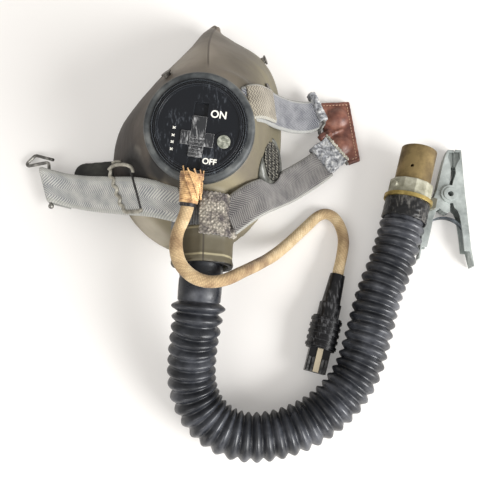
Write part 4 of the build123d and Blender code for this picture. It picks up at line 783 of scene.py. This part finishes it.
pad = worked_skin("yoke_pad", 0.55 * MM, 2)
for vertex in pad.verts:
    place = vertex.co / MM
    loops_here = math.sin(place.x * 2.6 + 1.5 * noise.noise(place / 3)) * math.sin(place.y * 2.3)
    vertex.co += vertex.normal * MM * (0.35 * loops_here + 0.35 * noise.noise(place / 1.6))
looped, tree, shader = new_finish("looped_pad", Roughness=0.92, Sheen_Weight=0.3)
where = add_node(tree, "TexCoord").outputs
knots = add_node(tree, "TexVoronoi", {"Vector": where["Object"], "Scale": 620.0, "Randomness": 0.7})
knot = remap(tree, knots.outputs["Distance"], 0.0, 0.62, 1.2, 0.35)
shades = mottled(tree, shader, (200, 192, 176), (150, 142, 131), (86, 78, 79), 160.0, 0.9)
looped_color = scaled(tree, shades["Color"], knot)
join(tree, looped_color, shader, "Base Color")
add_relief(tree, shader, knots.outputs["Distance"], 0.8, 0.5, invert=True)
finish_piece(pad, "looped_pad", looped, ["yoke_pad"])

# Rolled strap ends round the bent wire: frayed grey webbing, and the ragged bright
# clasp that grips the lower roll beside the leather.
frayed, tree, shader = new_finish("frayed_web", Roughness=0.9, Sheen_Weight=0.3)
shades = mottled(tree, shader, (206, 206, 204), (134, 136, 140), (60, 60, 64), 330.0, 0.95)
add_relief(tree, shader, shades["Mask"], 0.7, 0.4)
for name in ("upper_strap_roll", "lower_strap_roll"):
    roll = worked_skin(name, 0.5 * MM, 2)
    for vertex in roll.verts:
        place = vertex.co / MM
        vertex.co += vertex.normal * MM * (0.5 * noise.noise(place / 2.6) + 0.4 * noise.noise(place / 1.0))
    finish_piece(roll, f"frayed_{name}", frayed, [name])
CLASP_STEPS = 33
clasp_low, clasp_high = Vector((99.2, 4.2, 11.4)), Vector((84.6, 22.6, 11.4))
clasp_edge = []
for step in range(CLASP_STEPS + 1):
    ragged = 0.8 * math.sin(step * 2.2) + 0.3 * math.sin(step * 5.1)
    clasp_edge.append(clasp_high.lerp(clasp_low, step / CLASP_STEPS) + Vector((0.55, 0.5, 0.3)) * ragged)
wire_piece("clasp_edge", clasp_edge, 0.8 * MM, bright_wire)
dress(["tab_wire", "left_hook"], metal_finish("bent_wire", (176, 174, 168), (64, 62, 60), 0.32, 0.85, 220.0))

# Microphone's port ring: a thick moulded ring of bluish rubber that holds the housing, in paler and darker
# blotches, with its edges rounded in the shading.
ring_rubber, tree, shader = new_finish("ring_rubber", Roughness=0.5, Specular_IOR_Level=0.4)
shades = mottled(tree, shader, (112, 114, 112), (68, 71, 72), (40, 43, 45), 70.0, 0.7)
edge = add_value(tree, "Bevel", {"Radius": 0.8 * MM}, samples=4)
add_relief(tree, shader, shades["Mask"], 0.3, 0.3, normal=edge)
dress(["microphone_port_ring"], ring_rubber)


# Microphone: gloss black moulding with scratches and dust, its edges painted lighter as wear and as painted
# highlight, a rubbed switch and screw, and white-filled switch words.
def gloss_finish(name, base, scuffed, scuff_from, roughness, edge_wear_and_highlight=0.5):
    """Dark moulded plastic: fine scratches and dust break its shine, and its edges are painted lighter,
    partly as wear and partly as painted highlight.
    """
    material, tree, shader = new_finish(name, Specular_IOR_Level=0.3)
    where = add_node(tree, "TexCoord").outputs
    stretch = add_value(
        tree, "Mapping",
        {"Vector": where["Object"], "Scale": (1.0, 0.16, 1.0), "Rotation": (0, 0, 0.5)}
    )
    lines = clouded(tree, stretch, 900.0, 4.0)
    dust = clouded(tree, where["Object"], 90.0, 7.0)
    both = calc(tree, "MULTIPLY", lines, dust)
    mask = remap(tree, both, scuff_from, scuff_from + 0.16)
    edge = add_value(tree, "Bevel", {"Radius": 0.35 * MM}, samples=4)
    shape = add_node(tree, "NewGeometry")
    # Edges painted lighter: partly wear, partly a painted highlight where they catch the light.
    facing = vector_calc(tree, "DOT_PRODUCT", edge, shape.outputs["Normal"])
    edges = remap(tree, facing, 0.995, 0.90, 0, edge_wear_and_highlight)
    scuffs_and_lit_edges = calc(tree, "MAXIMUM", mask, edges)
    color = mix_colors(tree, scuffs_and_lit_edges, tone(*base), tone(*scuffed))
    join(tree, color, shader, "Base Color")
    dull = remap(tree, mask, 0, 1, roughness, roughness + 0.35)
    join(tree, dull, shader, "Roughness")
    join(tree, edge, shader, "Normal")
    return material


dress(["microphone_housing"], gloss_finish("housing_gloss", (14, 15, 18), (96, 102, 108), 0.32, 0.10, 0.8))
dress(["microphone_face_plate"], gloss_finish("plate_gloss", (22, 24, 28), (70, 74, 80), 0.29, 0.14, 0.5))
dress(["switch_slider", "switch_bridge"], gloss_finish(
    "rubbed_and_lit_switch", (44, 45, 47), (168, 168, 168), 0.25, 0.3, 0.9))
dress(["terminal_screw"], metal_finish("old_screw", (226, 228, 214), (92, 96, 84), 0.3, 0.7, 420.0))
dress(["cord_gland"], gloss_finish("gland_black", (22, 22, 24), (70, 70, 70), 0.3, 0.4))

white_paint = new_finish("white_paint", Roughness=0.6, Base_Color=tone(226, 224, 214))[0]
to_world = Matrix.Translation(MIC_CENTRE * MM) @ MIC_AXES.transposed().to_4x4()
FACE_TOP = -0.7


def painted_word(name, text, place, size):
    """A word filled with white paint, on the microphone's face."""
    curve = bpy.data.curves.new(name, "FONT")
    curve.body = text
    curve.size = size * MM
    curve.align_x = "CENTER"
    curve.align_y = "CENTER"
    curve.extrude = 0.06 * MM
    curve.offset = 0.12 * MM
    work = drawn_work(bpy.data.objects.new(name, curve))
    bmesh.ops.translate(work, verts=work.verts, vec=(place[0] * MM, place[1] * MM, FACE_TOP * MM))
    bmesh.ops.transform(work, matrix=to_world, verts=work.verts)
    finish_piece(work, name, white_paint, smooth=False)


painted_word("word_on", "ON", (10.6, 8.6), 6.0)
painted_word("word_off", "OFF", (8.9, -19.3), 4.8)
MARK_X = -14.2 * MM
MARK_SIZE = Matrix.Diagonal((2.0 * MM, 0.5 * MM, 0.12 * MM, 1))
marks = bmesh.new()
for place_y in (-2.2, -6.6, -10.6, -14.8):
    for lean in (-0.7, 0.7):
        turn = Matrix.Translation((MARK_X, place_y * MM, FACE_TOP * MM)) @ Matrix.Rotation(lean, 4, "Z")
        bmesh.ops.create_cube(marks, size=1.0, matrix=turn @ MARK_SIZE)
bmesh.ops.transform(marks, matrix=to_world, verts=marks.verts)
finish_piece(marks, "index_marks", white_paint, smooth=False)

# Whipping: ochre thread wound round the cord where it leaves the microphone, ragged at
# both ends, above a band of black tape.
WHIP_RADIUS = 6.3 * MM
WHIP_LENGTH = 17.5 * MM
WHIP_PITCH = 1.15 * MM
STRANDS = 7
STRAND_STEPS = 6
whip_line = [to_world @ Vector((0, -place * MM, -0.6 * MM)) for place in (27.2, 36.0, 44.7)]
whipping = tube_work(WHIP_RADIUS, WHIP_LENGTH, 36, 110)
for vertex in whipping.verts:
    x, y, z = vertex.co
    turn = math.atan2(z, y)
    ragged = 1.6 * MM * noise.noise((turn * 1.4, 2.0, 0)) * between(4 * MM - x, 0, 4 * MM)
    wound = abs(math.sin(math.pi * x / WHIP_PITCH + turn / 2 + 0.6 * noise.noise((x * 200, turn, 0))))
    taper = 1.02 - 0.16 * x / WHIP_LENGTH + 0.12 * noise.noise((x * 160, turn * 1.2, 4))
    keep = taper + 0.07 * wound
    vertex.co = Vector((x + ragged, y * keep, z * keep))
lay_along(whipping, whip_line, lambda share: to_world.to_3x3() @ Vector((1, 0, 0)))
for number in range(STRANDS):
    start_turn = -0.9 + 0.55 * number
    tall = 1.5 if number in (0, STRANDS - 1) else 0.5
    strand = []
    for step in range(STRAND_STEPS):
        turn = start_turn + 0.28 * step
        out = 6.9 + 0.3 * math.sin(number + step)
        down = -25.6 + tall * (2 - step) * 0.5 - 3.1 * step
        place = Vector((out * math.sin(turn) * MM, down * MM, (out * math.cos(turn) - 0.9) * MM))
        strand.append((to_world @ place) / MM)
    loose = wire_work(strand, 0.45 * MM, 8)
    joined = bpy.data.meshes.new("strand")
    loose.to_mesh(joined)
    loose.free()
    whipping.from_mesh(joined)
    bpy.data.meshes.remove(joined)
ochre, tree, shader = new_finish("ochre_thread", Roughness=0.7, Sheen_Weight=0.2)
mottled(tree, shader, (232, 196, 140), (180, 142, 96), (122, 86, 56), 210.0, 0.9)
finish_piece(whipping, "thread_whipping", ochre, ["cord_whipping"])
dress(["cord_tape_band"], gloss_finish("black_tape", (26, 24, 26), (90, 84, 80), 0.3, 0.45))

# Exhaust valve: a fat rolled rubber collar, creased where it bends away from the ring,
# round a cover of small perforations.
EXHAUST_SIDE = EXHAUST_AXIS.cross(Vector((0, 1, 0))).normalized()
EXHAUST_UP = EXHAUST_SIDE.cross(EXHAUST_AXIS)
CREASE_TURNS = (-0.34, -0.12, 0.10, 0.30)
collar_skin = worked_skin("exhaust_valve_housing", 0.8 * MM, 3)
for vertex in collar_skin.verts:
    place = vertex.co / MM
    local = place - EXHAUST_PLACE
    turn = math.atan2(local.dot(EXHAUST_UP), local.dot(EXHAUST_SIDE))
    depth = local.dot(EXHAUST_AXIS)
    creases = sum(hump(turn - middle - 0.03 * math.sin(depth), 0.045) for middle in CREASE_TURNS)
    inner_side = between(5.5 - depth, 0, 3)
    lift = -1.1 * creases * (0.35 + 0.65 * inner_side) + 0.35 * noise.noise(place / 5)
    vertex.co += vertex.normal * lift * MM
collar_rubber, tree, shader = new_finish("collar_rubber", Roughness=0.36, Specular_IOR_Level=0.5)
shades = mottled(tree, shader, (112, 113, 106), (72, 73, 68), (42, 43, 42), 75.0, 0.7)
add_relief(tree, shader, shades["Mask"], 0.25, 0.3)
finish_piece(collar_skin, "valve_collar", collar_rubber, ["exhaust_valve_housing"])

dotted, tree, shader = new_finish("dotted_cover", Roughness=0.5, Metallic=0.2)
where = add_node(tree, "TexCoord").outputs
level = add_value(tree, "Mapping", {"Vector": where["Object"], "Scale": (0.7, 1.0, 1.0)})
dots = add_node(tree, "TexVoronoi", {"Vector": level, "Scale": 560.0, "Randomness": 0.18})
dot = remap(tree, dots.outputs["Distance"], 0.28, 0.42)
cover_color = mix_colors(tree, dot, tone(140, 137, 126), tone(40, 39, 36))
join(tree, cover_color, shader, "Base Color")
add_relief(tree, shader, dots.outputs["Distance"], 0.7, 0.4, invert=True)
dress(["exhaust_valve_cover"], dotted)
dress(["cheek_studs"], metal_finish("dull_stud", (150, 146, 138), (58, 54, 52), 0.45, 0.6, 300.0))

# Leather tab: two stitched layers of red-brown hide that have moulded themselves over
# the press studs, with creases running in from the roll.
TAB_CORNER = Vector((82.0, 3.8))
TAB_EDGE = [Vector(corner) + TAB_CORNER for corner in ((0.0, 47.0), (21.1, 48.0), (27.0, 2.9), (19.4, 0.0))]
TAB_DOMES = (Vector((94.4, 39.3)), Vector((95.5, 18.2)))
TAB_CREASES = (((84.0, 33.0), (92.0, 28.0)), ((85.0, 24.0), (97.0, 30.0)), ((90.0, 20.0), (86.0, 29.0)))


def line_distance(place, start, end):
    """How far a point lies from a straight stretch."""
    way = Vector(end) - Vector(start)
    share = min(max((place - Vector(start)).dot(way) / way.length_squared, 0), 1)
    return (place - Vector(start) - way * share).length


hide = worked_skin("tab_front", 0.6 * MM, 4)
for vertex in hide.verts:
    place = vertex.co / MM
    flat = place.xy
    top = between(vertex.normal.z, 0.2, 0.6)
    lift = 0
    for dome in TAB_DOMES:
        away = (flat - dome).length
        lift += 0.9 * hump(away, 7.5) - 0.5 * hump(away - 9, 1.6)
    lift += sum(0.9 * hump(line_distance(flat, *crease), 1.1) for crease in TAB_CREASES)
    lift -= sum(0.45 * hump(line_distance(flat, *pair) - 2.4, 0.6) for pair in zip(TAB_EDGE, TAB_EDGE[1:]))
    vertex.co.z += (lift * top + 0.25 * noise.noise(place / 5)) * MM
leather, tree, shader = new_finish("red_leather", Roughness=0.42, Specular_IOR_Level=0.5)
where = add_node(tree, "TexCoord").outputs
mottled(tree, shader, (152, 106, 88), (112, 70, 58), (70, 40, 36), 95.0, 0.7)
pebbles = add_node(tree, "TexVoronoi", {"Vector": where["Object"], "Scale": 900.0})
add_relief(tree, shader, pebbles.outputs["Distance"], 0.3, 0.15)
finish_piece(hide, "leather_front", leather, ["tab_front"])
dress(["tab_back"], leather)
STITCH_PITCH, STITCH_INSET, STITCH_Z = 2.3, 2.4, 4.75
STITCH_SIZE = Matrix.Diagonal((0.85 * MM, 0.32 * MM, 0.3 * MM, 1))
stitches = bmesh.new()
for start, end in zip(TAB_EDGE, TAB_EDGE[1:]):
    way = (end - start).normalized()
    inward = Vector((way.y, -way.x))
    turn = Matrix.Rotation(math.atan2(way.y, way.x), 4, "Z")
    for number in range(1, int((end - start).length / STITCH_PITCH)):
        spot = start + way * (number * STITCH_PITCH) + inward * STITCH_INSET
        laid = Matrix.Translation((*(spot * MM), STITCH_Z * MM)) @ turn @ STITCH_SIZE
        bmesh.ops.create_icosphere(stitches, subdivisions=2, radius=1.0, matrix=laid)
stitch_thread = new_finish("stitch_thread", Roughness=0.8, Base_Color=tone(186, 150, 126))[0]
finish_piece(stitches, "tab_stitches", stitch_thread)

# Connector: old brass tube, painted collar, black sleeve and a brass strip, with the
# pressed clip beside it.
TUBE_CENTRE = (138.0 * MM, -26.4 * MM, 0)
LUG_WAY = (0.9647, -0.2633, 0)
LUG_FROM = 15.4 * MM
dress(["connector_tube"], metal_finish(
    "old_brass", (150, 130, 88), (76, 62, 40), 0.45, 0.6, 60.0, 0.8 * MM))
bracket = metal_finish("bright_brass", (206, 184, 116), (118, 98, 52), 0.3, 0.85, 120.0)
tree = bracket.node_tree
shader = tree.nodes["Principled BSDF"]
where = add_node(tree, "TexCoord").outputs
from_axis = vector_calc(tree, "SUBTRACT", where["Object"], TUBE_CENTRE)
outward = vector_calc(tree, "DOT_PRODUCT", from_axis, LUG_WAY)
lug = remap(tree, outward, LUG_FROM, LUG_FROM + 0.4 * MM)
bare = shader.inputs["Base Color"].links[0].from_socket
painted = mix_colors(tree, lug, bare, tone(132, 130, 116))
join(tree, painted, shader, "Base Color")
dress(["clip_bracket"], bracket)
dress(["connector_collar"], metal_finish(
    "worn_collar", (184, 182, 164), (120, 118, 100), 0.45, 0.3, 130.0, 0.6 * MM))
dress(["clip_jaw_fixed", "clip_jaw_moving", "clip_pivot"], metal_finish(
    "pressed_zinc", (196, 203, 200), (128, 134, 132), 0.42, 0.4, 70.0))
dress(["clip_spring"], metal_finish("spring_leaf", (140, 150, 158), (60, 66, 72), 0.3, 0.9, 200.0))
sleeve = worked_skin("hose_end_sleeve", 0.8 * MM, 2)
for vertex in sleeve.verts:
    place = vertex.co / MM
    vertex.co += vertex.normal * MM * (0.45 * noise.noise((place.x / 5, place.y / 1.6, place.z / 6)))
sleeve_piece = finish_piece(sleeve, "wrinkled_sleeve", gloss_finish(
    "sleeve_black", (30, 30, 31), (104, 102, 98), 0.26, 0.3, 0.5), ["hose_end_sleeve"])

# Plug: ribbed black moulding on its sleeve, with a cream strip and worn contacts at its
# end. The cord's far end is fixed in it.
dress(["plug_sleeve", "plug_collar", "plug_body", "plug_insulator"], gloss_finish(
    "plug_moulding", (20, 20, 22), (96, 96, 98), 0.27, 0.3))
dress(["plug_contacts"], metal_finish("worn_contacts", (112, 112, 112), (24, 24, 24), 0.35, 0.6, 240.0))
cream = new_finish("cream_strip", Roughness=0.6, Base_Color=tone(176, 164, 140))[0]
dress(["plug_strip"], cream)

# Table and light: a white table top beside a broad window low at the front right, which
# leaves soft warm shadows to the upper left.
table_work = bmesh.new()
bmesh.ops.create_grid(table_work, x_segments=1, y_segments=1, size=3.0)
table_mesh = bpy.data.meshes.new("table")
table_work.to_mesh(table_mesh)
table_work.free()
table = bpy.data.objects.new("table", table_mesh)
scene.collection.objects.link(table)
table_finish, tree, shader = new_finish("white_table", Roughness=0.75, Base_Color=(0.90, 0.875, 0.845, 1))
glow = add_node(tree, "Emission", {"Color": (1.0, 0.985, 0.965, 1), "Strength": 1.0})
rays = add_node(tree, "LightPath")
seen = calc(tree, "MULTIPLY", rays.outputs["Is Camera Ray"], 0.2)
blend = add_value(tree, "MixShader", {0: seen, 1: shader.outputs[0], 2: glow.outputs[0]})
tree.links.new(blend, tree.nodes["Material Output"].inputs["Surface"])
table_mesh.materials.append(table_finish)

world = bpy.data.worlds.new("room")
scene.world = world
world.use_nodes = True
sky = world.node_tree.nodes["Background"].inputs
sky["Color"].default_value = (1.0, 0.97, 0.93, 1)
sky["Strength"].default_value = 0.52
LAMP_TARGET = Vector((0.03, -0.05, 0))
for name, place, size, power in (
    ("window", (1.25, -0.80, 0.75), 0.9, 46.0), ("ceiling", (-0.7, -0.9, 1.1), 1.0, 10.0),
):
    lamp = bpy.data.lights.new(name, "AREA")
    lamp.size = size
    lamp.energy = power
    holder = bpy.data.objects.new(name, lamp)
    holder.location = place
    holder.rotation_euler = (LAMP_TARGET - Vector(place)).to_track_quat("-Z", "Y").to_euler()
    scene.collection.objects.link(holder)
